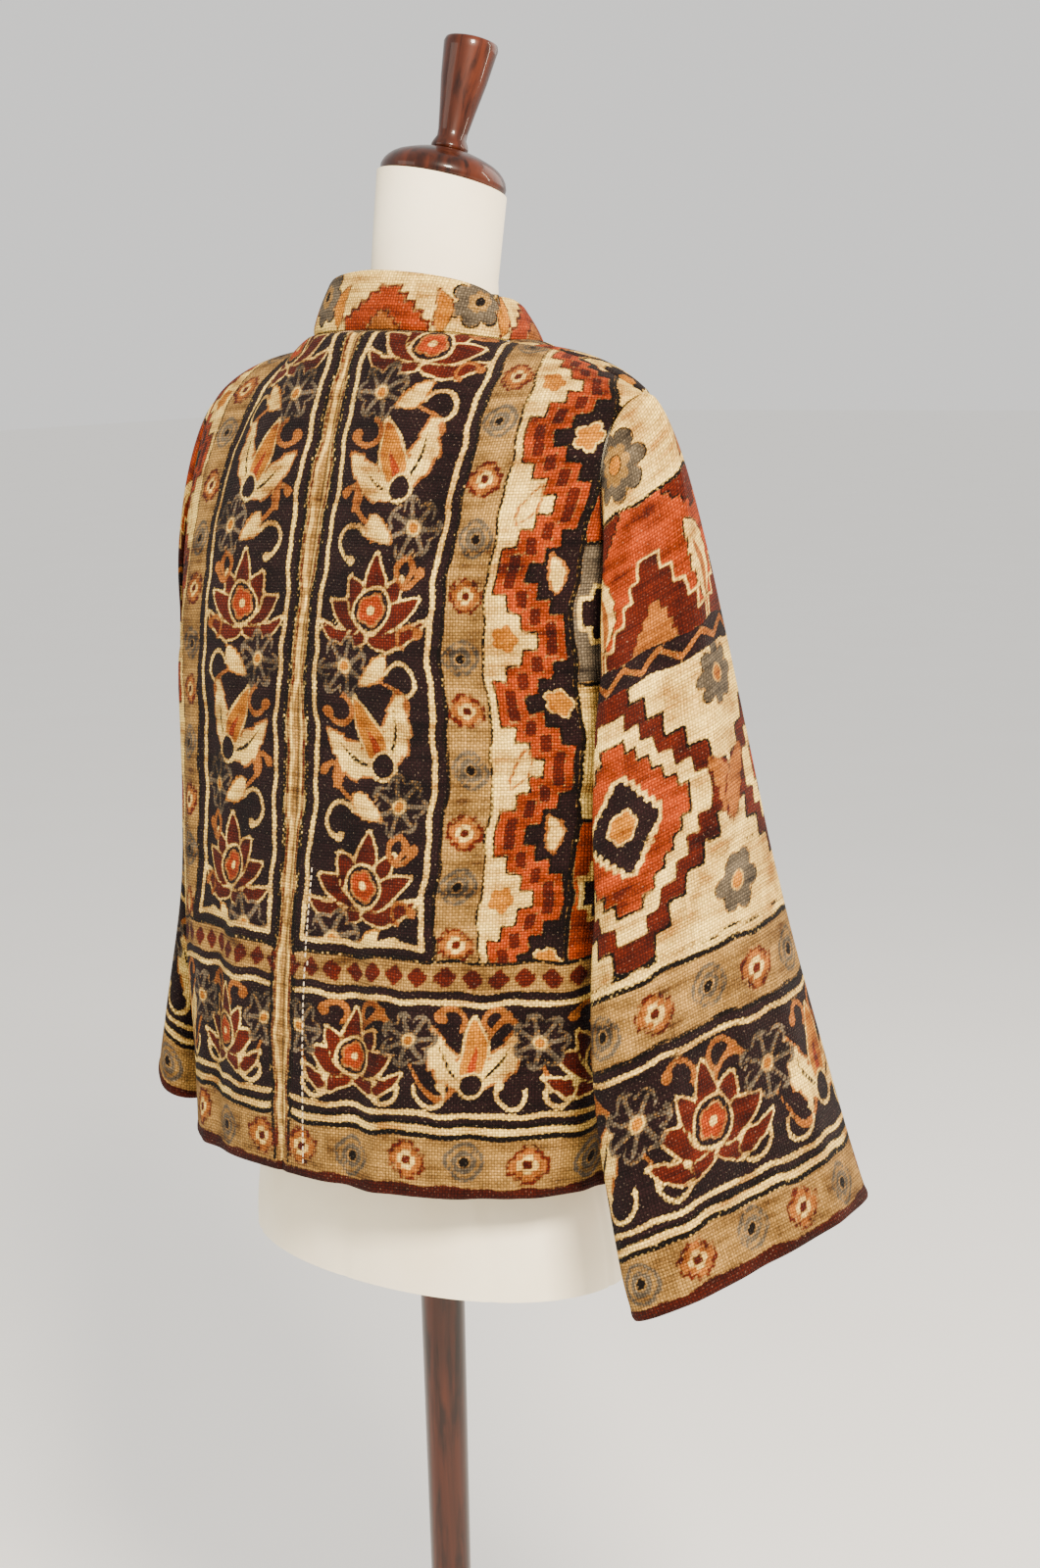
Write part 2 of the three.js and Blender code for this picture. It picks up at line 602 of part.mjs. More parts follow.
const capProfile = [
  [0, 0],
  [CAP.radius - 1.5, 0],
  [CAP.radius - 0.3, 2],
  [CAP.radius, 5],
  [CAP.radius - 1.4, 9],
  [CAP.radius - 6, 14.5],
  [CAP.radius - 14.5, 19],
  [CAP.radius - 24.5, 22.5],
  [CAP.radius - 32.5, CAP.height],
  [0, CAP.height],
];
root.add(onNeck(mesh("neck_cap", turned(capProfile), TURNED_WOOD), 0));
const f = FINIAL;
const finialProfile = [
  [0, 0],
  [f.ring, 0],
  [f.ring + 0.8, 2.5],
  [f.ring - 0.3, 5.5],
  [f.foot + 0.3, 9],
  [f.foot + 0.4, 14],
  [f.foot + 3, 31],
  [f.foot + 6.4, 51],
  [f.top - 0.6, f.height - 9],
  [f.top, f.height - 4.5],
  [f.top - 1, f.height - 1.2],
  [f.top - 5, f.height],
  [0, f.height],
];
const finial = mesh("finial", turned(finialProfile), TURNED_WOOD);
onNeck(finial, CAP.height + 0.3);
root.add(finial);
const postProfile = [
  [0, BASE.height + 0.3],
  [28, BASE.height + 0.3],
  [26, BASE.height + 16],
  [POST.radius, BASE.height + 34],
  [POST.radius - 2, 400],
  [POST.radius, FORM_BOTTOM_Z - 40],
  [POST.radius + 6, FORM_BOTTOM_Z - 18],
  [POST.flange, FORM_BOTTOM_Z - 8],
  [POST.flange, FORM_BOTTOM_Z - 0.3],
  [0, FORM_BOTTOM_Z - 0.3],
];
root.add(mesh("post", turned(postProfile), TURNED_WOOD));
const b = BASE;
const baseProfile = [
  [0, 0],
  [b.radius, 0],
  [b.radius + 2, 4],
  [b.radius + 2, 12],
  [b.radius - 4, 17],
  [b.radius - 10, 19],
  [b.radius - 60, 23],
  [40, 27],
  [34, b.height],
  [0, b.height],
];
root.add(mesh("base", turned(baseProfile, 48), TURNED_WOOD));

export default root;
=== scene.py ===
import math

import bpy
import numpy as np
from mathutils import Matrix, Vector


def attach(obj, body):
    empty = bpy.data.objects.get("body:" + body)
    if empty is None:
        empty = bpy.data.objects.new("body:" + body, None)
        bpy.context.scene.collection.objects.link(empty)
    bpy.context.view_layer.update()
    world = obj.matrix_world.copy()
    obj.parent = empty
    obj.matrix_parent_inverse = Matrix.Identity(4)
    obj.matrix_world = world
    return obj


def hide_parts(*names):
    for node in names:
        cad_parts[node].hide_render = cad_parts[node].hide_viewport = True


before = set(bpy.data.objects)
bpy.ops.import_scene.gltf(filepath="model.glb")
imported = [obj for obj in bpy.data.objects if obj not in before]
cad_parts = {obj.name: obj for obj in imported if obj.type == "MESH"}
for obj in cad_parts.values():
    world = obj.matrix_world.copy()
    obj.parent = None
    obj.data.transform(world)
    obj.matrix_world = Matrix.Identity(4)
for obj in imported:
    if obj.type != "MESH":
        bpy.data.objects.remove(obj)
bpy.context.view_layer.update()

# Printed cotton jacket on a dress form. Sizes below are in millimetres, in the frame of the CAD.
# The figure faces -Y and its left hand side is +X.

# Cloth
CLOTH = 1.7  # thickness of the cloth
HEM_WIDE = 8.0  # rolled edge at the hem and the cuffs
HEM_THICK = 1.3  # what the rolled edge adds to the thickness
SEAM_DIP = 1.5  # how far the cloth sinks along a seam
SEAM_WIDE = 3.5
HEM_SLOPE = 2.5  # width of the step from the rolled edge to the plain cloth
NECK_PART = 0.4  # share of a panel's top edge that is neckline

# Mesh of the cloth: size of a cell, and the spans that are divided into cells
CELL = {"back": 2.2, "front": 3.0, "sleeve": 2.45}
PANEL_SPAN = {"across": 292, "to_chest": 335, "to_shoulder": 300}
SLEEVE_SPAN = {"around": 490, "long": 570}
NORMAL_STEP = 0.012  # step of u, v, k or s over which a slope is measured

# Body of the jacket: half widths and depths at the hem and the chest
HEM_Z = 854
CHEST_Z = 1185
SIDE = {"hem": 194, "chest": 208, "mid": -5}
BACK = {"hem": 153, "chest": 132, "mid": 6}
FRONT = {"hem": 146, "chest": 142, "mid": 2}
SQUARENESS = {"hem": 2.3, "chest": 2.25}
HEM_DROP = {"left": 30, "right": 0}
HEM_IN = {"left": 8, "right": 0}
CENTRE_SWAY = 12
OPEN_FRONT = {"hem": 14, "neck": 3}

# Neckline, shoulders and armholes
NAPE = (0, 58, 1447)
NECK_POINT = (85, -2, 1437)
FRONT_NECK = (0, -104, 1402)
SHOULDER_TIP = (207, -5, 1401)
SHOULDER_RISE = 7
ROUNDNESS = {"back": 1.25, "front": 1.7, "shoulder": 2.8}
ARMHOLE_CUT = 0.22
ARMHOLE_GAP = 0.5

# Sleeves: middle of the cuff, its slant, turn and end slope in degrees, and how full the back is
CUFF = {"half_width": 102, "half_depth": 40, "tilt": 0.164}
SLEEVE = {
    "right": {
        "cuff": (299, 9, 820), "out": 20.3, "back": 2.3, "turn": 12,
        "end_out": 17.9, "end_back": -7.6, "full": 70,
    },
    "left": {
        "cuff": (259, -22, 875), "out": 14, "back": 2.3, "turn": 25,
        "end_out": 5, "end_back": 6, "full": 40,
    },
}
CUFF_SAG = {
    "right": {"at": 0.16, "width": 0.13, "depth": 7},
    "left": {"at": 0.3, "width": 0.2, "depth": 3},
}
SLEEVE_REACH = 546
SLEEVE_START = {
    "top": (165, 0, -87),
    "under": (62, 0, -60),
    "back": (105, 0, -55),
    "front": (95, -34, -60),
}

# Collar: heights, how far it leans in and bows out, its gap to the neckline and its thickness
COLLAR = {
    "back": 41, "side": 31, "front": 18, "lean": 15, "bow": 1.5, "gap": 0.6, "thick": 2.0, "edge": 0.5,
}
COLLAR_ROWS = 19
NECKLINE_POINTS = 56  # on each panel

# Main folds, as in the CAD: place across, start, end, width, depth
BODY_FOLDS = {
    "back_right": [
        (0.20, 0.0, 0.9, 0.06, -3.5),
        (0.36, 0.1, 1.3, 0.05, 3.0),
        (0.62, 0.0, 1.1, 0.06, -5.0),
        (0.78, 0.0, 1.2, 0.05, 4.0),
    ],
    "back_left": [
        (0.16, 0.0, 0.8, 0.05, 3.0),
        (0.34, 0.0, 1.2, 0.06, -5.0),
        (0.55, 0.2, 1.4, 0.06, 4.0),
        (0.76, 0.0, 0.9, 0.06, -4.0),
    ],
    "front_right": [
        (0.25, 0.0, 1.2, 0.07, 5.0),
        (0.46, 0.0, 1.0, 0.06, -5.5),
        (0.70, 0.0, 1.2, 0.06, 4.5),
    ],
    "front_left": [
        (0.30, 0.0, 1.1, 0.07, -5.0),
        (0.50, 0.0, 1.3, 0.06, 5.5),
        (0.74, 0.0, 1.0, 0.06, -4.0),
    ],
}
SLEEVE_FOLDS = {
    "sleeve_right": [
        (0.35, 0.1, 0.75, 0.09, -6.0),
        (0.62, 0.25, 1.0, 0.08, 4.0),
        (0.86, 0.1, 0.6, 0.08, -4.0),
        (1.40, 0.15, 0.9, 0.10, -5.0),
    ],
    "sleeve_left": [
        (0.40, 0.15, 0.9, 0.09, 5.0),
        (0.70, 0.1, 0.7, 0.08, -5.0),
        (0.78, 0.3, 1.0, 0.25, -20.0),
        (1.30, 0.2, 1.0, 0.10, -5.0),
    ],
}

# Soft creases placed on the cloth: start across and up, end across and up, width, depth
CREASES = {
    "back_right": [
        (262, 330, 190, 250, 10, -4.0),
        (268, 290, 214, 200, 9, 3.2),
        (240, 430, 160, 372, 11, -3.0),
        (44, 240, 48, -60, 11, -3.6),
        (70, 210, 74, -60, 10, 2.8),
        (128, 300, 118, 90, 13, 2.6),
        (24, 430, 56, 290, 13, -2.4),
        (110, 480, 60, 400, 12, -2.2),
        (160, 180, 152, -60, 12, -3.2),
        (205, 200, 196, -30, 10, 2.6),
        (246, 190, 238, -60, 10, -3.4),
    ],
    "back_left": [
        (258, 340, 184, 256, 10, -4.0),
        (236, 430, 156, 380, 11, -3.0),
        (56, 270, 74, -40, 12, -3.0),
        (96, 230, 92, -60, 11, 2.4),
        (136, 340, 120, 130, 13, 2.6),
        (30, 440, 62, 320, 13, -2.4),
        (180, 200, 172, -60, 12, -3.2),
        (226, 170, 214, -30, 10, 2.8),
    ],
    "front_right": [
        (250, 340, 170, 270, 10, -3.8),
        (226, 420, 150, 384, 11, -2.6),
        (90, 320, 104, 90, 13, -2.8),
        (160, 240, 150, -50, 12, 2.8),
        (204, 180, 198, -60, 11, -3.2),
        (30, 210, 26, -40, 11, -2.2),
    ],
    "front_left": [
        (246, 330, 164, 262, 10, -3.8),
        (220, 430, 146, 376, 11, -2.8),
        (96, 330, 84, 100, 13, -2.8),
        (150, 250, 160, -50, 12, 2.8),
        (210, 190, 206, -60, 11, -3.0),
        (36, 200, 30, -40, 11, -2.2),
    ],
    "sleeve_right": [
        (-150, 520, -84, 410, 12, -4.6),
        (-196, 470, -118, 372, 11, 3.8),
        (-200, 420, -130, 318, 11, -3.6),
        (-60, 500, -40, 330, 15, -3.4),
        (-20, 460, -6, 240, 14, 3.0),
        (-112, 330, -124, 40, 15, -4.0),
        (-76, 250, -84, -30, 14, 3.2),
        (-30, 220, -34, -60, 14, -3.2),
        (-158, 230, -164, -60, 12, -4.2),
        (-200, 250, -196, -60, 14, 5.0),
        (70, 480, 84, 250, 15, -3.4),
        (140, 460, 150, 120, 16, 3.2),
        (30, 200, 40, -40, 14, 3.0),
        (110, 220, 116, -60, 15, -3.6),
    ],
    "sleeve_left": [
        (-150, 470, -90, 372, 12, -4.2),
        (-190, 420, -116, 330, 11, 3.4),
        (-60, 460, -44, 300, 15, -3.2),
        (-110, 300, -120, -30, 15, 3.4),
        (-64, 220, -70, -60, 14, -3.4),
        (-20, 240, -26, -40, 14, 2.8),
        (80, 440, 90, 220, 15, -3.2),
        (150, 420, 160, 100, 16, 3.0),
        (60, 200, 64, -60, 14, -3.0),
    ],
}

# Dress form
FORM_BOTTOM_Z = 762
FORM_CHEST_Z = 1190
FORM_SIDE = {"hem": 166, "chest": 168, "mid": -46}
FORM_BACK = {"hem": 106, "chest": 98, "mid": -18}
FORM_FRONT = {"hem": 92, "chest": 116, "mid": -20}
FORM_CLEAR = 1.7
FORM_NECK = {"x": 58, "back_y": 36, "front_y": -70, "back_z": 1432, "front_z": 1404}
FORM_TIP_X = 188
FORM_SEAMS = (0.0, 0.5, 1.0)
FORM_SEAM_DIP = 0.008  # share of the radius
FORM_SEAM_WIDE = 0.012
NECK_TUBE = {
    "radius": 46.5, "y": -23, "z": 1478, "top_y": -34.5, "top_z": 1548.5, "lean": 15.6, "turn": 19,
}
FORM_MESH = {"quarter": 44, "rows": 61, "curve": 17, "tube": 11}

# Turned pieces: radius and height of each ring
CAP_RINGS = [
    (44.9, 0), (46.1, 2), (46.4, 5), (45, 9), (43, 11.9), (40.4, 14.5), (36.6, 17), (31.9, 19),
    (27, 20.9), (21.9, 22.5), (13.9, 24),
]
FINIAL_RINGS = [
    (13, 0), (13.8, 2.5), (12.7, 5.5), (10.8, 9), (10.9, 14), (13.5, 31), (16.9, 51),
    (19.4, 71.5), (20, 76), (19, 79.3), (15, 80.5),
]
POST_RINGS = [(28, 30.3), (26, 46), (17, 64), (15, 400), (17, 722), (23, 744), (52, 754), (52, 761.7)]
BASE_RINGS = [(180, 0), (182, 4), (182, 12), (176, 17), (170, 19), (120, 23), (40, 27), (34, 30)]
CAP_HEIGHT = 24
PIECE_GAP = 0.3  # between the neck, the cap and the finial
TURNED_SIDES = 64
BROKEN_RIM = 0.6

# Running stitches: rings of one stitch, and the row's place, ends, pitch and unevenness
STITCH_RINGS = [(0.25, 0), (0.5, 0.5), (0.6, 1.7), (0.5, 2.9), (0.25, 3.4)]
STITCH_SIDES = 8
STITCH_ROW = {"across": 22, "from": 10, "to": 226, "pitch": 5.2, "wander": 0.7, "uneven": 0.5, "lift": 0.1}

# Camera, from the photograph's perspective
CAMERA_TURN = 43.013
CAMERA_AWAY = 1841.1
CAMERA_Z = 1452
CAMERA_DOWN = 10.39
CAMERA_ROLL = -1.74
FOCAL_PX = 2573.7
IMAGE_TALL = 1600
CENTRE_OFF_PX = 94.5
SENSOR = 36

# Studio lamps, in metres: place, what they point at, size, power and colour
LAMPS = {
    "key": ((-1.8, 1.25, 2.6), (0, 0, 1.25), 0.5, 215, (1.0, 0.87, 0.70)),
    "fill": ((1.6, 2.6, 1.8), (0, 0, 1.1), 2.0, 30, (1.0, 0.92, 0.80)),
    "front": ((-0.8, -3.0, 2.4), (0, 0, 1.1), 2.4, 50, (1.0, 0.93, 0.84)),
    "strip": ((-1.9, -1.7, 1.9), (0, 0, 1.5), 0.1, 34, (1.0, 0.82, 0.64)),
}
STRIP_TALL = 1.8
SKY = (1.0, 0.985, 0.96, 1)
FLOOR_SIZE = 60

# Dyes of the print, each where it lies thick and where it lies thin
DYES = {
    "aubergine": ("0c0405", "1f0f10"),
    "black": ("050201", "110805"),
    "cream": ("a07030", "ffd872"),
    "taupe": ("4a2e12", "a87f40"),
    "tan": ("5e2c08", "a86120"),
    "rust": ("240502", "541706"),
    "terracotta": ("420f02", "a43a06"),
    "grey": ("261f18", "685b48"),
    "ochre": ("703504", "c47a14"),
    "edge": ("1c0402", "3f1005"),
}
DARK_DYES = ("aubergine", "black", "rust", "edge")
GROUND_DYE = "b0803f"
REVERSE_CLOTH = "cdb48a"
OUTSIDE = -9.0  # value of a dye's field well outside its shapes
FAR_OUT = -99.0  # start of a shape that is put together from parts
FAR_OFF = 999  # place of a motif that is left out of a repeat

# Layout of the print: heights above the hem or cuff, and places across from the centre line
HEM_BORDER = {"top": 42, "pitch": 44, "motif": 12.5}
DARK_BAND_LOW = 53
BODY_LAYOUT = {
    "band_top": 146, "dots_top": 168, "dark_field": (12, 124), "side_border": (126, 156),
    "zigzag": (158, 216), "blocks_from": 218,
}
SLEEVE_LAYOUT = {
    "band_top": 166, "border": (168, 212), "medallions": (222, 412), "zigzag": (407, 426),
    "pyramids": (424, 526),
}
PAST_TOP = 2000  # higher than any panel


def smooth_step(a, b, x):
    t = np.clip((x - a) / (b - a), 0, 1)
    return t * t * (3 - 2 * t)


def unit(vectors):
    length = np.linalg.norm(vectors, axis=-1, keepdims=True)
    return vectors / np.maximum(length, 1e-9)


def degrees_tan(angle):
    return math.tan(math.radians(angle))


def shoulder_rise(share):
    return SHOULDER_RISE * np.sin(np.pi * np.clip(share, 0, 1)) ** 1.3


def at_hem(v):
    return np.maximum(1 - v, 0) ** 1.5


def along(size, v):
    """A size that goes from hem to chest without a slope at either end."""
    chest = np.sin(v * np.pi / 2) ** 2
    return size["hem"] * (1 - chest) + size["chest"] * chest + size["mid"] * np.sin(v * np.pi) ** 2


def quarter(u, half_width, depth, power):
    """Quarter of a superellipse, from the centre line (0) to the side (1)."""
    s = np.sin(u * np.pi / 2)
    c = np.maximum(np.cos(u * np.pi / 2), 0)
    r = (s**power + c**power) ** (1 / power)
    return half_width * s / r, depth * c / r


def top_edge(u, back):
    """Neckline and then shoulder seam."""
    tau = np.clip(u / NECK_PART, 0, 1) * np.pi / 2
    shoulder = 1 - np.clip((1 - u) / (1 - NECK_PART), 0, 1) ** 2
    end = NAPE if back else FRONT_NECK
    reach = [tip - point for tip, point in zip(SHOULDER_TIP, NECK_POINT)]
    x = NECK_POINT[0] * np.sin(tau) + reach[0] * shoulder
    y = NECK_POINT[1] + (end[1] - NECK_POINT[1]) * np.cos(tau) + reach[1] * shoulder
    rise = 1 - np.cos(tau) ** (1 if back else 3)
    z = end[2] + (NECK_POINT[2] - end[2]) * rise + reach[2] * shoulder
    z = z + shoulder_rise(shoulder)
    return x, y, z


def panel_form(back, u, v):
    """Plain form of a panel on the figure's left: v 0 hem, 1 chest, 2 top."""
    low = np.clip(v, 0, 1)
    t = np.clip(v - 1, 0, 1)
    u_cut = u * (1 - ARMHOLE_CUT * np.maximum(np.sin(np.pi * t), 0) ** 0.75)
    power = SQUARENESS["hem"] + (SQUARENESS["chest"] - SQUARENESS["hem"]) * low
    x, y = quarter(u_cut, along(SIDE, low), along(BACK if back else FRONT, low), power)
    if not back:
        y = -y
    z = HEM_Z + (CHEST_Z - HEM_Z) * low
    qx, qy, qz = top_edge(u_cut, back)
    middle = ROUNDNESS["back" if back else "front"]
    m = middle + (ROUNDNESS["shoulder"] - middle) * u_cut
    rise = np.sin(t * np.pi / 2) ** (2 / m)
    keep = np.maximum(np.cos(t * np.pi / 2), 0) ** (2 / m)
    keep = np.where(t >= 1, 0.0, keep)
    above = v > 1
    x = np.where(above, qx + (x - qx) * keep, x)
    y = np.where(above, qy + (y - qy) * keep, y)
    z = np.where(above, CHEST_Z + (qz - CHEST_Z) * rise, z)
    return np.stack([x, y, z], -1)


def panel_base(name, u, v):
    """One panel of the jacket in place, before its folds."""
    back = name.startswith("back")
    side = "left" if name.endswith("left") else "right"
    p = panel_form(back, u, v)
    p[..., 2] -= HEM_DROP[side] * u * u * at_hem(v)
    p[..., 0] -= HEM_IN[side] * u * u * at_hem(v)
    if not back:
        opening = OPEN_FRONT["hem"] + (OPEN_FRONT["neck"] - OPEN_FRONT["hem"]) * v / 2
        p[..., 0] += opening * (1 - u) ** 2
    if side == "right":
        p[..., 0] *= -1
    if back:
        p[..., 0] += CENTRE_SWAY * (1 - u) ** 2 * at_hem(v)
    return p


def fold_depth(folds, across, up):
    """How far the main folds move the cloth, outwards where it is above 0."""
    depth = np.zeros_like(across)
    for place, start, end, width, deep in folds:
        reach = smooth_step(start - 0.08, start + 0.25, up) * (1 - smooth_step(end - 0.35, end, up))
        depth += deep * np.exp(-(((across - place) / width) ** 2)) * reach
    return depth


def crease_depth(creases, x, y):
    """Soft troughs and ridges along short lines drawn on the cloth."""
    depth = np.zeros_like(x)
    for x0, y0, x1, y1, width, deep in creases:
        line = np.array([x1 - x0, y1 - y0], float)
        length = np.hypot(*line)
        line /= length
        t = ((x - x0) * line[0] + (y - y0) * line[1]) / length
        bend = 0.06 * length * np.sin(np.pi * np.clip(t, 0, 1))
        off = (x - x0) * -line[1] + (y - y0) * line[0] - bend
        reach = smooth_step(-0.12, 0.25, t) * (1 - smooth_step(0.7, 1.12, t))
        depth += deep * np.exp(-((off / width) ** 2)) * reach
    return depth


def panel_normals(name, u, v, away):
    """Directions square to a panel's plain form, on the side that looks away from the body."""
    e = NORMAL_STEP
    du = panel_base(name, np.minimum(u + e, 1), v) - panel_base(name, np.maximum(u - e, 0), v)
    dv = panel_base(name, u, np.minimum(v + e, 2)) - panel_base(name, u, np.maximum(v - e, 0))
    normals = unit(np.cross(du, dv))
    normals[np.sum(normals * away, -1) < 0] *= -1
    return normals


def sleeve_form(name, k, s):
    """Plain form of a sleeve: k 0 armpit, 1 shoulder, 2 armpit again, s 0 armhole, 1 cuff."""
    side = "left" if name.endswith("left") else "right"
    cut = SLEEVE[side]
    t = np.where(k <= 1, k, 2 - k)
    one = np.ones_like(k)
    at = np.where((k <= 1)[..., None], panel_form(True, one, 1 + t), panel_form(False, one, 1 + t))
    psi = k * np.pi
    at[..., 0] += ARMHOLE_GAP
    run = unit(np.array([degrees_tan(cut["out"]), degrees_tan(cut["back"]), -1.0]))
    turn = math.radians(cut["turn"])
    wide = np.array([math.sin(turn), -math.cos(turn), 0.0])
    wide = unit(wide - run * wide.dot(run))
    deep = np.cross(run, wide)
    if deep[0] < 0:
        deep = -deep
    end = np.array(cut["cuff"], float) - wide * CUFF["half_width"] * np.sin(psi)[..., None]
    end = end - deep * CUFF["half_depth"] * np.cos(psi)[..., None]
    end[..., 2] -= CUFF["tilt"] * CUFF["half_width"] * np.sin(psi)
    sag = CUFF_SAG[side]
    away = (k - sag["at"] + 1) % 2 - 1
    end[..., 2] -= sag["depth"] * np.exp(-((away / sag["width"]) ** 2))
    finish = unit(np.array([degrees_tan(cut["end_out"]), degrees_tan(cut["end_back"]), -1.0]))
    share = {
        "top": np.maximum(-np.cos(psi), 0) ** 2,
        "under": np.maximum(np.cos(psi), 0) ** 2,
        "back": np.maximum(np.sin(psi), 0) ** 2,
        "front": np.maximum(-np.sin(psi), 0) ** 2,
    }
    start = share["back"][..., None] * np.array([0.0, cut["full"], 0.0])
    for part, weight in share.items():
        start = start + weight[..., None] * np.array(SLEEVE_START[part], float)
    s = s[..., None]
    p = at * (2 * s**3 - 3 * s**2 + 1) + start * (s**3 - 2 * s**2 + s)
    p = p + end * (-2 * s**3 + 3 * s**2) + finish * (s**3 - s**2) * SLEEVE_REACH
    if side == "right":
        p[..., 0] *= -1
    return p


def cloth_lengths(points, centre_column):
    """Length across from one column and up from the lowest row, measured on the surface."""
    across = np.linalg.norm(np.diff(points, axis=1), axis=-1)
    across = np.concatenate([np.zeros((points.shape[0], 1)), np.cumsum(across, axis=1)], axis=1)
    across -= across[:, centre_column : centre_column + 1]
    up = np.linalg.norm(np.diff(points, axis=0), axis=-1)
    up = np.concatenate([np.zeros((1, points.shape[1])), np.cumsum(up, axis=0)], axis=0)
    return across, up


class Print:
    """Dyes on the cloth: for each one, how far a point lies inside its shapes."""

    def __init__(self, x, y):
        # Slow and quick waves make the lines waver as if drawn by hand
        self.x = x + 1.9 * np.sin(y / 29 + 0.7) + 1.0 * np.sin(y / 9.1 + x / 31)
        self.x += 0.5 * np.sin(y / 4.3 - x / 11)
        self.y = y + 1.6 * np.sin(x / 26 + 0.3) + 0.9 * np.sin(x / 8.2 - y / 27)
        self.y += 0.5 * np.sin(x / 4.7 + y / 13)
        self.fields = {dye: np.full(x.shape, OUTSIDE) for dye in DYES}

    def paint(self, dye, inside):
        """Lays one dye over the others; two dark dyes overlap, so that no pale line parts them."""
        for name, field in self.fields.items():
            if name == dye:
                np.maximum(field, inside, out=field)
            else:
                lap = 1.3 if name in DARK_DYES and dye in DARK_DYES else 0.2
                np.minimum(field, lap - inside, out=field)

    def outlined(self, dye, line_dye, inside, line):
        """Shape in one dye with a line of another round it."""
        self.paint(line_dye, inside + line)
        self.paint(dye, inside)

    def only_where(self, inside, draw):
        """Draws within one zone: what falls outside it is left as it was."""
        before = {name: field.copy() for name, field in self.fields.items()}
        draw()
        for name, field in self.fields.items():
            field[...] = np.where(inside > 0, field, before[name])


def repeat(value, start, pitch):
    """Place within a repeat, and the repeat's number."""
    number = np.floor((value - start) / pitch + 0.5)
    return value - start - number * pitch, number


def band(value, middle, width):
    """How far inside a stripe of this width a value lies."""
    return width / 2 - np.abs(value - middle)


def between(value, low, high):
    return np.minimum(value - low, high - value)


def turned_to(x, y, angle):
    """Coordinates of a motif that is turned by so many degrees."""
    c, s = math.cos(math.radians(angle)), math.sin(math.radians(angle))
    return x * c + y * s, -x * s + y * c


def rosette(x, y, petals, outer, dip):
    """Round flower: dip is how deep the petals are parted."""
    angle = np.arctan2(y, x)
    reach = outer * (1 - dip * (1 - np.abs(np.cos(petals * angle / 2)) ** 0.6))
    return reach - np.hypot(x, y)


def leaf(x, y, length, width, bend, teeth=0):
    """Pointed leaf that grows up from the point 0, 0."""
    t = np.clip(y / length, 0, 1)
    half = width * np.maximum(np.sin(np.pi * t**0.8), 0) ** 0.75
    if teeth:
        half = half * (0.70 + 0.30 * (1 - (t * teeth) % 1))
    off = x - bend * np.sin(np.pi * t * 0.9)
    return np.minimum(half - np.abs(off), np.minimum(y + 1, length - y))


def tendril(x, y, radius, width, start, turn):
    """Part of a ring, from one angle on for so many degrees, with a bud at its end."""
    angle = (np.degrees(np.arctan2(y, x)) - start) % 360
    ring = width / 2 - np.abs(np.hypot(x, y) - radius)
    ring = np.where(angle < turn, ring, OUTSIDE)
    end = math.radians(start + turn)
    bud = width * 1.25 - np.hypot(x - radius * math.cos(end), y - radius * math.sin(end))
    return np.maximum(ring, bud)


def stepped_diamond(x, y, half_wide, half_tall, steps):
    """Diamond with edges in steps, as in a woven rug."""
    inside = np.full(np.shape(x), FAR_OUT)
    for i in range(steps):
        wide = half_wide * (steps - i) / steps
        tall = half_tall * (i + 1) / steps
        inside = np.maximum(inside, np.minimum(wide - np.abs(x), tall - np.abs(y)))
    return inside


def palmette(cloth, x, y, size):
    """Fan of pointed petals round a heart, on two curled leaves."""
    for side in (1, -1):
        a, b = turned_to(x * side, y + 0.62 * size, 74)
        cloth.outlined("rust", "cream", leaf(a, b, size * 1.15, size * 0.17, -size * 0.16, 4), 2.0)
    for turn in (-62, -31, 31, 62, 0):
        a, b = turned_to(x, y + 0.45 * size, -turn)
        long = size * (1.25 if turn == 0 else 1.05)
        cloth.outlined("rust", "cream", leaf(a, b, long, 0.22 * size, 0), 2.1)
    cloth.outlined("aubergine", "cream", rosette(x, y + 0.12 * size, 1, 0.36 * size, 0), 2.0)
    cloth.outlined("terracotta", "tan", rosette(x, y + 0.12 * size, 5, 0.25 * size, 0.25), 1.6)
    cloth.paint("cream", 0.09 * size - np.hypot(x, y + 0.12 * size))


def drawn_flower(cloth, x, y, size):
    """Flower of seven petals drawn in grey lines on the dark ground."""
    petals = 7
    cloth.outlined("aubergine", "grey", rosette(x, y, petals, size, 0.38), 2.3)
    angle = np.arctan2(y, x)
    spoke = np.abs(np.sin(petals * angle / 2)) * np.hypot(x, y) / (petals / 2)
    inside = rosette(x, y, petals, size * 0.92, 0.38)
    cloth.paint("grey", np.minimum(1.2 - spoke, inside))
    cloth.outlined("ochre", "cream", size * 0.17 - np.hypot(x, y), 2.0)


def tulip(cloth, x, y, size):
    """Bloom of one ochre and two cream petals over a dark cup."""
    for turn in (-34, 34):
        a, b = turned_to(x, y + 0.5 * size, -turn)
        bend = np.sign(turn) * 0.16 * size
        cloth.outlined("cream", "tan", leaf(a, b, size * 1.25, size * 0.27, bend, 4), 1.6)
        cloth.paint("black", leaf(a, b, size * 1.1, size * 0.04, bend * 0.8))
    cloth.outlined("ochre", "cream", leaf(x, y + 0.5 * size, size * 1.25, size * 0.2, 0), 2.0)
    cloth.paint("terracotta", leaf(x, y + 0.5 * size, size * 0.8, size * 0.08, 0))
    cloth.outlined("aubergine", "cream", size * 0.2 - np.hypot(x, y + 0.42 * size), 2.0)


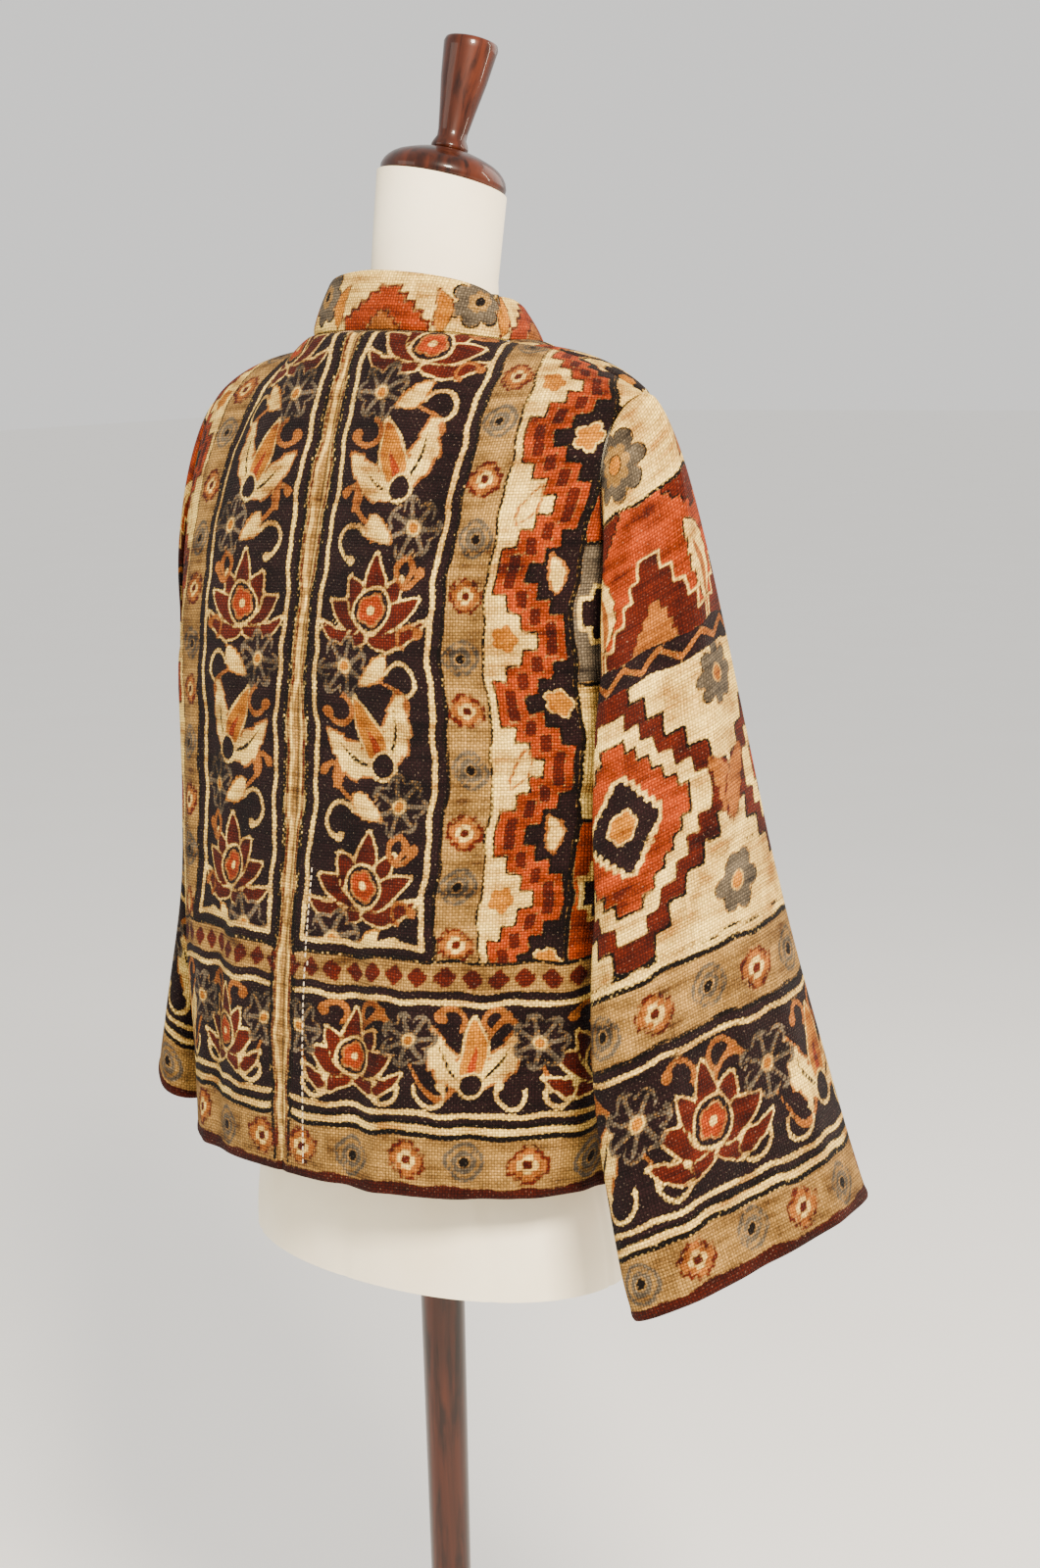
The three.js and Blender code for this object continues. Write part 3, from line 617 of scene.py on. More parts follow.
def small_diamonds(cloth, along_band, off, pitch, size):
    """Row of stepped diamonds and ringed dots on a border."""
    local, number = repeat(along_band, pitch / 2, pitch)
    even = (number % 2) == 0
    local = local + 1.6 * np.sin(number * 2.3)
    off = off + 1.2 * np.sin(number * 1.7)

    def diamond(share, steps):
        return np.where(even, stepped_diamond(local, off, size * share, size * share, steps), OUTSIDE)

    def dot(inside):
        return np.where(even, OUTSIDE, inside)

    cloth.outlined("tan", "rust", diamond(1, 3), 1.8)
    cloth.paint("cream", diamond(0.6, 2))
    cloth.paint("rust", diamond(0.25, 1))
    cloth.outlined("taupe", "grey", dot(rosette(local, off, 4, size * 0.95, 0.12)), 2.4)
    cloth.paint("grey", dot(band(np.hypot(local, off), size * 0.52, 3.4)))
    cloth.paint("black", dot(size * 0.33 - np.hypot(local, off)))


def guard_lines(cloth, value, start):
    """Black, cream and black lines above a border whose top edge is at start."""
    for dye, above, width in (("black", 2.2, 5.2), ("cream", 6.8, 4.0), ("black", 10.2, 3.2)):
        cloth.paint(dye, band(value, start + above, width))


def hem_border(cloth):
    """Rolled edge, border of small motifs and guard lines above it."""
    x, y = cloth.x, cloth.y
    high = HEM_BORDER["top"]
    cloth.paint("taupe", between(y, HEM_WIDE, high))
    small_diamonds(cloth, x, y - (HEM_WIDE + high) / 2, HEM_BORDER["pitch"], HEM_BORDER["motif"])
    guard_lines(cloth, y, high)
    cloth.paint("edge", HEM_WIDE - y)


def dark_band(cloth, low, high, pitch, start):
    """Aubergine band with palmettes, tulips, drawn flowers and a running vine."""
    x, y = cloth.x, cloth.y
    inside = between(y, low, high)
    cloth.paint("aubergine", inside + 2)
    middle = (low + high) / 2
    tall = high - low

    def motifs():
        wave = middle + tall * 0.30 * np.sin(2 * np.pi * (x - start) / pitch)
        cloth.paint("tan", 1.7 - np.abs(y - wave) * 0.75)
        local, number = repeat(x, start, pitch)
        even = number % 2 == 0
        palmette(cloth, np.where(even, local, FAR_OFF), y - middle, tall * 0.40)
        tulip(cloth, np.where(even, FAR_OFF, local), y - middle, tall * 0.44)
        half, _ = repeat(x, start + pitch / 2, pitch)
        drawn_flower(cloth, half, y - middle - tall * 0.14, tall * 0.20)
        for side in (1, -1):
            low_curl = (half * side - tall * 0.18, y - middle + tall * 0.26, tall * 0.11)
            cloth.paint("cream", tendril(*low_curl, 2.6, 150, 240))
            high_curl = (half * side - tall * 0.33, y - middle - tall * 0.30, tall * 0.09)
            cloth.paint("tan", tendril(*high_curl, 3.2, -60, 230))

    cloth.only_where(inside - 7, motifs)
    cloth.paint("cream", band(inside, 6.5, 3.2))


def dark_field(cloth, left, right, low, high, pitch, start):
    """Tall aubergine field with palmettes, tulips, flowers and tendrils on a vine."""
    x, y = cloth.x, cloth.y
    inside = np.minimum(between(x, left, right), between(y, low, high))
    cloth.paint("aubergine", inside + 2)
    middle = (left + right) / 2
    wide = right - left

    def motifs():
        wave = middle + wide * 0.27 * np.sin(2 * np.pi * (y - start) / pitch)
        cloth.paint("tan", 1.7 - np.abs(x - wave) * 0.75)
        local, number = repeat(y, start, pitch)
        even = number % 2 == 0
        palmette(cloth, x - middle, np.where(even, local, FAR_OFF), wide * 0.36)
        a, b = turned_to(x - middle, np.where(even, FAR_OFF, local), 24)
        tulip(cloth, a, b, wide * 0.40)
        half, number = repeat(y, start + pitch / 2, pitch)
        off = (x - middle) * np.where(number % 2 == 0, 1, -1)
        drawn_flower(cloth, off - wide * 0.21, half - 4, wide * 0.18)
        cloth.paint("cream", tendril(off + wide * 0.22, half + 6, wide * 0.11, 2.6, 20, 250))
        cloth.paint("tan", tendril(off - wide * 0.24, half + 26, wide * 0.09, 3.4, 100, 250))
        cloth.paint("tan", tendril(off + wide * 0.30, half - 24, wide * 0.07, 3.0, -80, 240))
        a, b = turned_to(off + wide * 0.12, half - 12, -128)
        cloth.outlined("cream", "ochre", leaf(a, b, wide * 0.26, wide * 0.07, 3, 4), 1.2)

    cloth.only_where(inside - 8, motifs)
    cloth.paint("cream", band(inside, 7, 3.2))


def side_border(cloth, left, right, low):
    """Upright border of small motifs between black lines."""
    x, y = cloth.x, cloth.y
    inside = np.minimum(between(x, left, right), y - low)
    cloth.paint("taupe", inside)
    middle = (left + right) / 2
    cloth.only_where(inside, lambda: small_diamonds(cloth, y, x - middle, 40, 11))
    cloth.paint("black", np.minimum(band(x, left, 4.0), y - low))
    cloth.paint("black", np.minimum(band(x, right, 3.0), y - low))


def zigzag_column(cloth, left, right, low, pitch):
    """Cream field with a stepped zigzag and small blooms in its bays."""
    x, y = cloth.x, cloth.y
    inside = np.minimum(between(x, left, right), y - low)
    cloth.paint("cream", inside)
    middle = (left + right) / 2

    def motifs():
        local, _ = repeat(y, low, pitch)
        wide = core = np.full(x.shape, FAR_OUT)
        step = pitch / 8
        level = np.clip(np.floor(np.abs(local) / step), 0, 3)
        cloth.paint("aubergine", x - middle - (level - 1.5) * 10)
        for shift in (-1, 0, 1):
            level = np.clip(np.floor(np.abs(local) / step) + shift, 0, 3)
            away = np.abs(x - middle - (level - 1.5) * 10)
            tall = step / 2 - np.abs(np.abs(local) - (level + 0.5) * step)
            wide = np.maximum(wide, np.minimum(9.0 - away, tall + 4))
            core = np.maximum(core, np.minimum(4.2 - away, tall + 0.6))
        cloth.outlined("terracotta", "black", wide, 2.2)
        cloth.paint("rust", core)
        for side, shift in ((1, 0), (-1, pitch / 2)):
            bay, count = repeat(y, low + shift, pitch)
            away = x - middle - side * 17
            bloom = rosette(away, bay, 5, 9, 0.4)
            cloth.outlined("ochre", "cream", np.where(count % 2 == 0, bloom, OUTSIDE), 1.6)
            a, b = turned_to(away, bay + 12, side * 20)
            small_leaf = leaf(a, b, 26, 6, 3, 3)
            cloth.outlined("cream", "tan", np.where(count % 2 == 0, OUTSIDE, small_leaf), 1.4)

    cloth.only_where(inside, motifs)


def block_column(cloth, left, low, pitch):
    """Blocks of terracotta, cream and grey beside the side seam."""
    x, y = cloth.x, cloth.y
    inside = np.minimum(x - left, y - low)

    def motifs():
        local, number = repeat(y, low + pitch / 2, pitch)
        block = pitch / 2 - np.abs(local)
        for i, dye in enumerate(("terracotta", "cream", "grey")):
            cloth.paint(dye, np.where(number % 3 == i, block, OUTSIDE))
        across = x - left - 36
        cloth.outlined("aubergine", "cream", stepped_diamond(across, local, 30, 36, 4), 3)
        cloth.outlined("ochre", "black", rosette(across, local, 6, 11, 0.35), 2)
        cloth.paint("black", 1.9 - block)

    cloth.only_where(inside, motifs)


def body_print(x, y, front):
    """Print of a body panel: x from the centre line, y from the hem."""
    cloth = Print(x, y)
    x, y = cloth.x, cloth.y
    layout = BODY_LAYOUT
    low, high = layout["band_top"], layout["dots_top"]
    cloth.paint("cream", y)
    block_column(cloth, layout["blocks_from"], high, 96)
    zigzag_column(cloth, *layout["zigzag"], high, 90)
    side_border(cloth, *layout["side_border"], high)
    dark_field(cloth, *layout["dark_field"], high + 2, PAST_TOP, 96, 222)
    cloth.paint("black", np.minimum(band(x, layout["blocks_from"] - 1, 3.6), y - high))
    cloth.paint("taupe", between(y, low, high))
    local, _ = repeat(x, 8, 18)
    diamonds = stepped_diamond(local, y - (low + high) / 2, 7, 7, 3)
    cloth.only_where(between(y, low + 2, high - 2), lambda: cloth.paint("rust", diamonds))
    cloth.paint("black", band(y, high, 3.6))
    cloth.paint("black", band(y, low, 3.6))
    dark_band(cloth, DARK_BAND_LOW, low, 92, 62)
    hem_border(cloth)
    above = y - HEM_WIDE
    cloth.paint("taupe", np.minimum(7 - x, above))
    cloth.paint("cream", np.minimum(band(x, 3.0, 3.2), above))
    cloth.paint("rust", np.minimum(band(x, 6.2, 1.6), above))
    cloth.paint("black", np.minimum(band(x, 9.4, 4.0), above))
    if front:
        cloth.paint("edge", 6 - x)
    return cloth.fields


def sleeve_print(x, y):
    """Print of a sleeve: x from the fold opposite the underarm seam, y from the cuff."""
    cloth = Print(x, y)
    x, y = cloth.x, cloth.y
    layout = SLEEVE_LAYOUT
    rings = (
        (82, "rust", "black"),
        (66, "cream", "black"),
        (50, "terracotta", "black"),
        (28, "aubergine", "cream"),
    )
    cloth.paint("cream", y)

    def medallions():
        local, _ = repeat(x, -74, 172)
        for size, dye, line in rings:
            cloth.outlined(dye, line, stepped_diamond(local, y - 318, size, size * 1.12, 6), 2.6)
        cloth.outlined("ochre", "cream", rosette(local, y - 318, 6, 10, 0.3), 1.8)
        half, _ = repeat(x, 12, 172)
        for height, petals in ((250, 6), (388, 8)):
            cloth.outlined("grey", "black", rosette(half, y - height, petals, 20, 0.36), 2.0)
            cloth.outlined("ochre", "cream", 5 - np.hypot(half, y - height), 1.8)
        for side in (1, -1):
            a, b = turned_to(half * side, y - 292, 26)
            cloth.outlined("tan", "rust", leaf(a, b, 50, 12, 7, 5), 1.6)
            cloth.paint("black", tendril(half * side - 16, y - 282, 9, 2.2, 200, 230))

    cloth.only_where(between(y, *layout["medallions"]), medallions)
    low, high = layout["pyramids"]
    cloth.paint("terracotta", between(y, low, high))

    def pyramids():
        local, _ = repeat(x, -34, 86)
        cloth.outlined("rust", "cream", stepped_diamond(local, y - low, 40, 62, 5), 2.4)
        cloth.outlined("tan", "black", stepped_diamond(local, y - low, 17, 30, 4), 1.8)
        half, _ = repeat(x, 9, 86)
        cloth.outlined("rust", "black", stepped_diamond(half, y - high - 2, 24, 26, 4), 2.0)
        a, b = turned_to(half, y - 440, 16)
        cloth.outlined("cream", "black", leaf(a, b, 58, 12, 7, 5), 2.0)
        cloth.paint("tan", leaf(a, b, 42, 3.2, 6))

    cloth.only_where(between(y, low, high), pyramids)
    local, _ = repeat(x, 0, 30)
    zigzag_low, zigzag_high = layout["zigzag"]
    cloth.paint("aubergine", between(y, zigzag_low, zigzag_high))
    zigzag = 2.0 - np.abs(y - zigzag_low - 15 + np.abs(local) * 0.7)
    zone = between(y, zigzag_low + 2, zigzag_high - 2)
    cloth.only_where(zone, lambda: cloth.paint("tan", zigzag))
    cloth.paint("black", band(y, high + 1, 3.6))

    def blooms():
        local, _ = repeat(x, -48, 112)
        cloth.outlined("grey", "black", rosette(local, y - 560, 8, 27, 0.36), 2.4)
        cloth.paint("taupe", rosette(local, y - 560, 8, 16, 0.36))
        cloth.outlined("ochre", "black", 6 - np.hypot(local, y - 560), 2.0)
        half, _ = repeat(x, 8, 112)
        a, b = turned_to(half, y - 534, -30)
        cloth.outlined("tan", "rust", leaf(a, b, 46, 8, 6), 1.6)

    cloth.only_where(y - high - 4, blooms)
    low, high = layout["border"]
    cloth.paint("taupe", between(y, low, high))
    middle = (low + high) / 2
    zone = between(y, low + 2, high - 2)
    cloth.only_where(zone, lambda: small_diamonds(cloth, x, y - middle, 42, 13))
    guard_lines(cloth, y, high)
    cloth.paint("black", band(y, low, 5.0))
    dark_band(cloth, DARK_BAND_LOW, layout["band_top"], 108, -38)
    hem_border(cloth)
    return cloth.fields


def collar_print(x, y):
    """Print of the collar: x along it from the nape, y up from the neck seam."""
    cloth = Print(x, y)
    x, y = cloth.x, cloth.y
    cloth.paint("cream", y + 9)
    local, _ = repeat(x, 24, 132)
    cloth.outlined("terracotta", "rust", stepped_diamond(local, y, 34, 33, 5), 2.2)
    cloth.outlined("tan", "rust", stepped_diamond(local, y, 13, 15, 3), 1.6)
    half, _ = repeat(x, -42, 132)
    cloth.outlined("grey", "black", rosette(half, y - 24, 7, 20, 0.34), 2.6)
    cloth.paint("taupe", rosette(half, y - 24, 7, 10, 0.36))
    cloth.paint("black", 4.5 - np.hypot(half, y - 24))
    for side in (1, -1):
        a, b = turned_to(half * side - 22, y - 2, -16)
        cloth.outlined("ochre", "rust", leaf(a, b, 30, 6, -3, 3), 1.5)
    return cloth.fields


def shell(name, points, normals, thickness):
    """Closed cloth round a grid of points, thinner on its outermost line, which rounds the edge."""
    rows, columns = points.shape[:2]
    half = np.asarray(thickness)[..., None] / 2
    thin = np.ones((rows, columns, 1))
    thin[[0, -1], :] = 0.5
    thin[:, [0, -1]] = 0.5
    outer = points + normals * half * thin
    inner = points - normals * half * thin
    vertices = np.concatenate([outer.reshape(-1, 3), inner.reshape(-1, 3)]) / 1000
    index = np.arange(rows * columns).reshape(rows, columns)
    a, b = index[:-1, :-1], index[:-1, 1:]
    c, d = index[1:, 1:], index[1:, :-1]
    front = np.stack([a, b, c, d], -1).reshape(-1, 4)
    reach = rows * columns
    back = np.stack([a, d, c, b], -1).reshape(-1, 4) + reach
    rim = np.concatenate([index[0, :], index[1:, -1], index[-1, -2::-1], index[-2:0:-1, 0]])
    after = np.roll(rim, -1)
    edge = np.stack([rim, rim + reach, after + reach, after], -1)
    faces = np.concatenate([front, back, edge])
    outward = np.cross(points[1, 1] - points[1, 0], points[2, 1] - points[1, 1])
    if outward.dot(normals[1, 1]) < 0:
        faces = faces[:, ::-1]
    mesh = bpy.data.meshes.new(name)
    mesh.from_pydata(vertices.tolist(), [], faces.tolist())
    mesh.polygons.foreach_set("use_smooth", [True] * len(mesh.polygons))
    mesh.update()
    piece = bpy.data.objects.new(name, mesh)
    bpy.context.scene.collection.objects.link(piece)
    return piece


def both_faces(grid):
    """Values of the grid's points for the outer and then the inner face of the cloth."""
    return np.concatenate([grid.ravel(), grid.ravel()])


def lay_print(piece, across, up, fields):
    """Gives the cloth its own map in metres and the dyes as attributes."""
    mesh = piece.data
    corner = np.empty(len(mesh.loops), int)
    mesh.loops.foreach_get("vertex_index", corner)
    flat = np.stack([both_faces(across)[corner], both_faces(up)[corner]], -1) / 1000
    cloth_map = mesh.uv_layers.new(name="cloth")
    cloth_map.data.foreach_set("uv", flat.ravel())
    for dye, field in fields.items():
        layer = mesh.attributes.new(dye, "FLOAT", "POINT")
        values = np.clip(both_faces(field), OUTSIDE, -OUTSIDE)
        layer.data.foreach_set("value", values.astype(np.float32))
    layer = mesh.attributes.new("reverse", "FLOAT", "POINT")
    side = np.concatenate([np.zeros(across.size), np.ones(across.size)])
    layer.data.foreach_set("value", side.astype(np.float32))


def seam_dip(distance):
    return -SEAM_DIP * np.exp(-((distance / SEAM_WIDE) ** 2))


def hemmed_thickness(up):
    """Thickness of the cloth, more at the rolled edge."""
    return CLOTH + HEM_THICK * (1 - smooth_step(HEM_WIDE - HEM_SLOPE, HEM_WIDE, up))


def panel(name, material):
    """One of the four body panels."""
    back = name.startswith("back")
    cell = CELL["back" if back else "front"]
    columns = round(PANEL_SPAN["across"] / cell)
    low_rows = round(PANEL_SPAN["to_chest"] / cell)
    high_rows = round(PANEL_SPAN["to_shoulder"] / cell)
    u = np.linspace(0, 1, columns + 1)
    v = np.concatenate([np.linspace(0, 1, low_rows + 1), 1 + np.linspace(0, 1, high_rows + 1)[1:]])
    u, v = np.meshgrid(u, v)
    base = panel_base(name, u, v)
    away = np.stack([base[..., 0], base[..., 1] * 1.3, np.where(v > 1.6, 200.0, 0.0)], -1)
    normals = panel_normals(name, u, v, away)
    # Neighbouring panels meet where their normals lie in the plane of the seam
    normals[:, 0, 0] = 0
    normals[:, -1, 1] = np.where(v[:, -1] <= 1, 0, normals[:, -1, 1])
    top = (v == 2) & (u >= NECK_PART)
    normals[..., 1] = np.where(top, 0, normals[..., 1])
    normals = unit(normals)
    across, up = cloth_lengths(base, 0)
    # The folds fade out towards the seams and the shoulder
    fade = smooth_step(0, 0.1, u) * smooth_step(0, 0.1, 1 - u) * (1 - smooth_step(1.6, 1.9, v))
    depth = fold_depth(BODY_FOLDS[name], u, v) * fade
    depth += crease_depth(CREASES[name], across, up) * smooth_step(0, 14, across)
    from_side = across[:, -1:] - across
    from_top = up[-1:, :] - up
    if back:
        depth += seam_dip(across)
    depth += seam_dip(from_side) + seam_dip(from_top)
    points = base + normals * depth[..., None]
    piece = shell("cloth_" + name, points, normals, hemmed_thickness(up))
    lay_print(piece, across, up, body_print(across, up, not back))
    dress(piece, material, "printed_cotton", name)
    if name == "back_right":
        stitch_row(points + normals * CLOTH / 2, normals, across, up)


def stitch_row(surface, normals, across, up):
    """Running stitches that hold the cloth beside the centre back seam."""
    stitch = lathe("one_stitch", STITCH_RINGS, STITCH_SIDES)
    thread = sewing_thread()
    copies = []
    low = STITCH_ROW["from"]
    while low < STITCH_ROW["to"]:
        wander = STITCH_ROW["wander"] * math.sin(low * 1.7)
        ends = []
        for height in (low, low + STITCH_RINGS[-1][1]):
            row = int(np.argmin(np.abs(up[:, 0] - height)))
            column = int(np.argmin(np.abs(across[row] - STITCH_ROW["across"] - wander)))
            share = (height - up[row, 0]) / (up[row + 1, 0] - up[row, 0])
            start, after = surface[row, column], surface[row + 1, column]
            ends.append(start + (after - start) * share)
        direction = Vector(ends[1] - ends[0])
        out = Vector(normals[row, column])
        turn = direction.to_track_quat("Z", "Y").to_matrix().to_4x4()
        copy = stitch.copy()
        copy.data = stitch.data.copy()
        bpy.context.scene.collection.objects.link(copy)
        foot = (Vector(ends[0]) + out * STITCH_ROW["lift"]) / 1000
        copy.data.transform(Matrix.Translation(foot) @ turn)
        copies.append(copy)
        low += STITCH_ROW["pitch"] + STITCH_ROW["uneven"] * math.sin(low * 2.9)
    bpy.data.objects.remove(stitch)
    bpy.ops.object.select_all(action="DESELECT")
    for copy in copies:
        copy.select_set(True)
    bpy.context.view_layer.objects.active = copies[0]
    bpy.ops.object.join()
    row_of_stitches = bpy.context.active_object
    row_of_stitches.name = "running_stitches"
    row_of_stitches.data.materials.append(thread)
    bpy.ops.object.shade_smooth()
    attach(row_of_stitches, "root")


def sleeve(name, material):
    """One sleeve, a tube with its seam under the arm."""
    columns = round(SLEEVE_SPAN["around"] / CELL["sleeve"])
    rows = round(SLEEVE_SPAN["long"] / CELL["sleeve"])
    k, s = np.meshgrid(np.linspace(0, 2, columns + 1), np.linspace(1, 0, rows + 1))
    base = sleeve_form(name, k, s)
    e = NORMAL_STEP
    dk = sleeve_form(name, (k + e + 2) % 2, s) - sleeve_form(name, (k - e + 2) % 2, s)
    ds = sleeve_form(name, k, np.minimum(s + e, 1)) - sleeve_form(name, k, np.maximum(s - e, 0))
    normals = unit(np.cross(dk, ds)) * (1 if name.endswith("left") else -1)
    middle = columns // 2
    across, up = cloth_lengths(base, middle)
    from_top = up[-1:, :] - up
    depth = fold_depth(SLEEVE_FOLDS[name], k, s) * smooth_step(0.03, 0.2, s)
    depth += crease_depth(CREASES[name], across, up) * smooth_step(0, 40, from_top)
    depth += seam_dip(from_top)
    depth += seam_dip(np.minimum(across - across[:, :1], across[:, -1:] - across))
    points = base + normals * depth[..., None]
    points[:, -1] = points[:, 0]
    piece = shell("cloth_" + name, points, normals, hemmed_thickness(up))
    lay_print(piece, across, up, sleeve_print(across, up))
    dress(piece, material, "printed_cotton", name)


def neckline(count):
    """Seam line of the collar, from the left front edge round the nape."""
    rising = np.linspace(0, NECK_PART, count)
    top = np.full(count, 2.0)
    parts = [
        panel_base("front_left", rising, top)[:-1],
        panel_base("back_left", rising, top)[::-1][:-1],
        panel_base("back_right", rising, top)[:-1],
        panel_base("front_right", rising, top)[::-1],
    ]
    return np.concatenate(parts)


def collar(material):
    """Standing band on the neckline."""
    seam = neckline(NECKLINE_POINTS)
    count = len(seam)
    before = np.concatenate([seam[:1], seam[:-1]])
    after = np.concatenate([seam[1:], seam[-1:]])
    run = unit(after - before)
    out = unit(np.stack([-run[:, 1], run[:, 0], np.zeros(count)], -1))
    towards = np.stack([seam[:, 0], seam[:, 1] + 12, np.zeros(count)], -1)
    out[np.sum(out * towards, -1) < 0] *= -1
    up = unit(np.cross(run, out))
    up[up[:, 2] < 0] *= -1
    along_seam = np.abs(np.linspace(-1, 1, count))
    sideways = np.minimum(2 * along_seam, 1) ** 1.5
    forward = np.maximum(2 * along_seam - 1, 0)
    height = COLLAR["back"] + (COLLAR["side"] - COLLAR["back"]) * sideways
    height = height + (COLLAR["front"] - height) * forward
    rows = np.linspace(0, 1, COLLAR_ROWS)[:, None, None]
    shift = -COLLAR["lean"] * rows + COLLAR["bow"] * np.sin(np.pi * rows)
    points = seam[None] + out[None] * shift
    points = points + up[None] * (COLLAR["gap"] + height[None, :, None] * rows)
    lean = (COLLAR["lean"] / height * 0.8)[:, None] * np.array([0.0, 0.0, 1.0])
    normals = np.repeat(unit(out + lean)[None], COLLAR_ROWS, axis=0)
    across, rise = cloth_lengths(points, count // 2)
    points = points + normals * (seam_dip(rise) * 0.8)[..., None]
    thickness = COLLAR["thick"] + COLLAR["edge"] * np.exp(-(((rise - rise[-1:]) / 3) ** 2))
    piece = shell("cloth_collar", points, normals, thickness)
    lay_print(piece, across, rise, collar_print(across, rise))
    dress(piece, material, "printed_cotton", "collar")


def dress(piece, material, slot, *nodes):
    """Material, body and CAD nodes of a finished piece."""
    piece.data.materials.clear()
    piece.data.materials.append(material)
    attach(piece, "root")
    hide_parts(*nodes)


def form_half(u, v, back):
    """Half of the form's surface on the figure's left."""
    low = np.clip(v, 0, 1)
    t = np.clip(v - 1, 0, 1)
    power = 2.1 + 0.1 * low
    x, y = quarter(u, along(FORM_SIDE, low), along(FORM_BACK if back else FORM_FRONT, low), power)
    if not back:
        y = -y
    z = FORM_BOTTOM_Z + (FORM_CHEST_Z - FORM_BOTTOM_Z) * low
    shoulder = np.clip((u - NECK_PART) / (1 - NECK_PART), 0, 1)
    tau = np.clip(u / NECK_PART, 0, 1) * np.pi / 2
    neck = u < NECK_PART
    past_neck = FORM_NECK["x"] + (FORM_TIP_X - FORM_NECK["x"]) * shoulder
    qx = np.where(neck, FORM_NECK["x"] * np.sin(tau), past_neck)
    share = (qx - NECK_POINT[0]) / (SHOULDER_TIP[0] - NECK_POINT[0])
    seam_y = NECK_POINT[1] + (SHOULDER_TIP[1] - NECK_POINT[1]) * share
    seam_z = NECK_POINT[2] + (SHOULDER_TIP[2] - NECK_POINT[2]) * share - FORM_CLEAR
    seam_z = seam_z + shoulder_rise(share) - 6 * smooth_step(0.75, 1, shoulder)
    end_y = FORM_NECK["back_y"] if back else FORM_NECK["front_y"]
    end_z = FORM_NECK["back_z"] if back else FORM_NECK["front_z"]
    qy = np.where(neck, seam_y + (end_y - seam_y) * np.cos(tau), seam_y)
    qz = np.where(neck, end_z + (seam_z - end_z) * (1 - np.cos(tau)), seam_z)
    m = 1.4 + 0.8 * u if back else 1.15 + 0.85 * u
    rise = np.sin(t * np.pi / 2) ** (2 / m)
    keep = np.where(t >= 1, 0.0, np.maximum(np.cos(t * np.pi / 2), 0) ** (2 / m))
    above = v > 1
    x = np.where(above, qx + (x - qx) * keep, x)
    y = np.where(above, qy + (y - qy) * keep, y)
    z = np.where(above, FORM_CHEST_Z + (qz - FORM_CHEST_Z) * rise, z)
    seams = sum(np.exp(-(((u - seam) / FORM_SEAM_WIDE) ** 2)) for seam in FORM_SEAMS)
    dip = 1 - FORM_SEAM_DIP * seams * (1 - t)
    return np.stack([x * dip, y * dip, z], -1)


def ring_faces(rings, count, start):
    """Faces between closed rings of vertices that follow each other."""
    faces = []
    for i in range(rings - 1):
        a = start + i * count
        b = a + count
        for j in range(count):
            k = (j + 1) % count
            faces.append((a + j, a + k, b + k, b + j))
    return faces


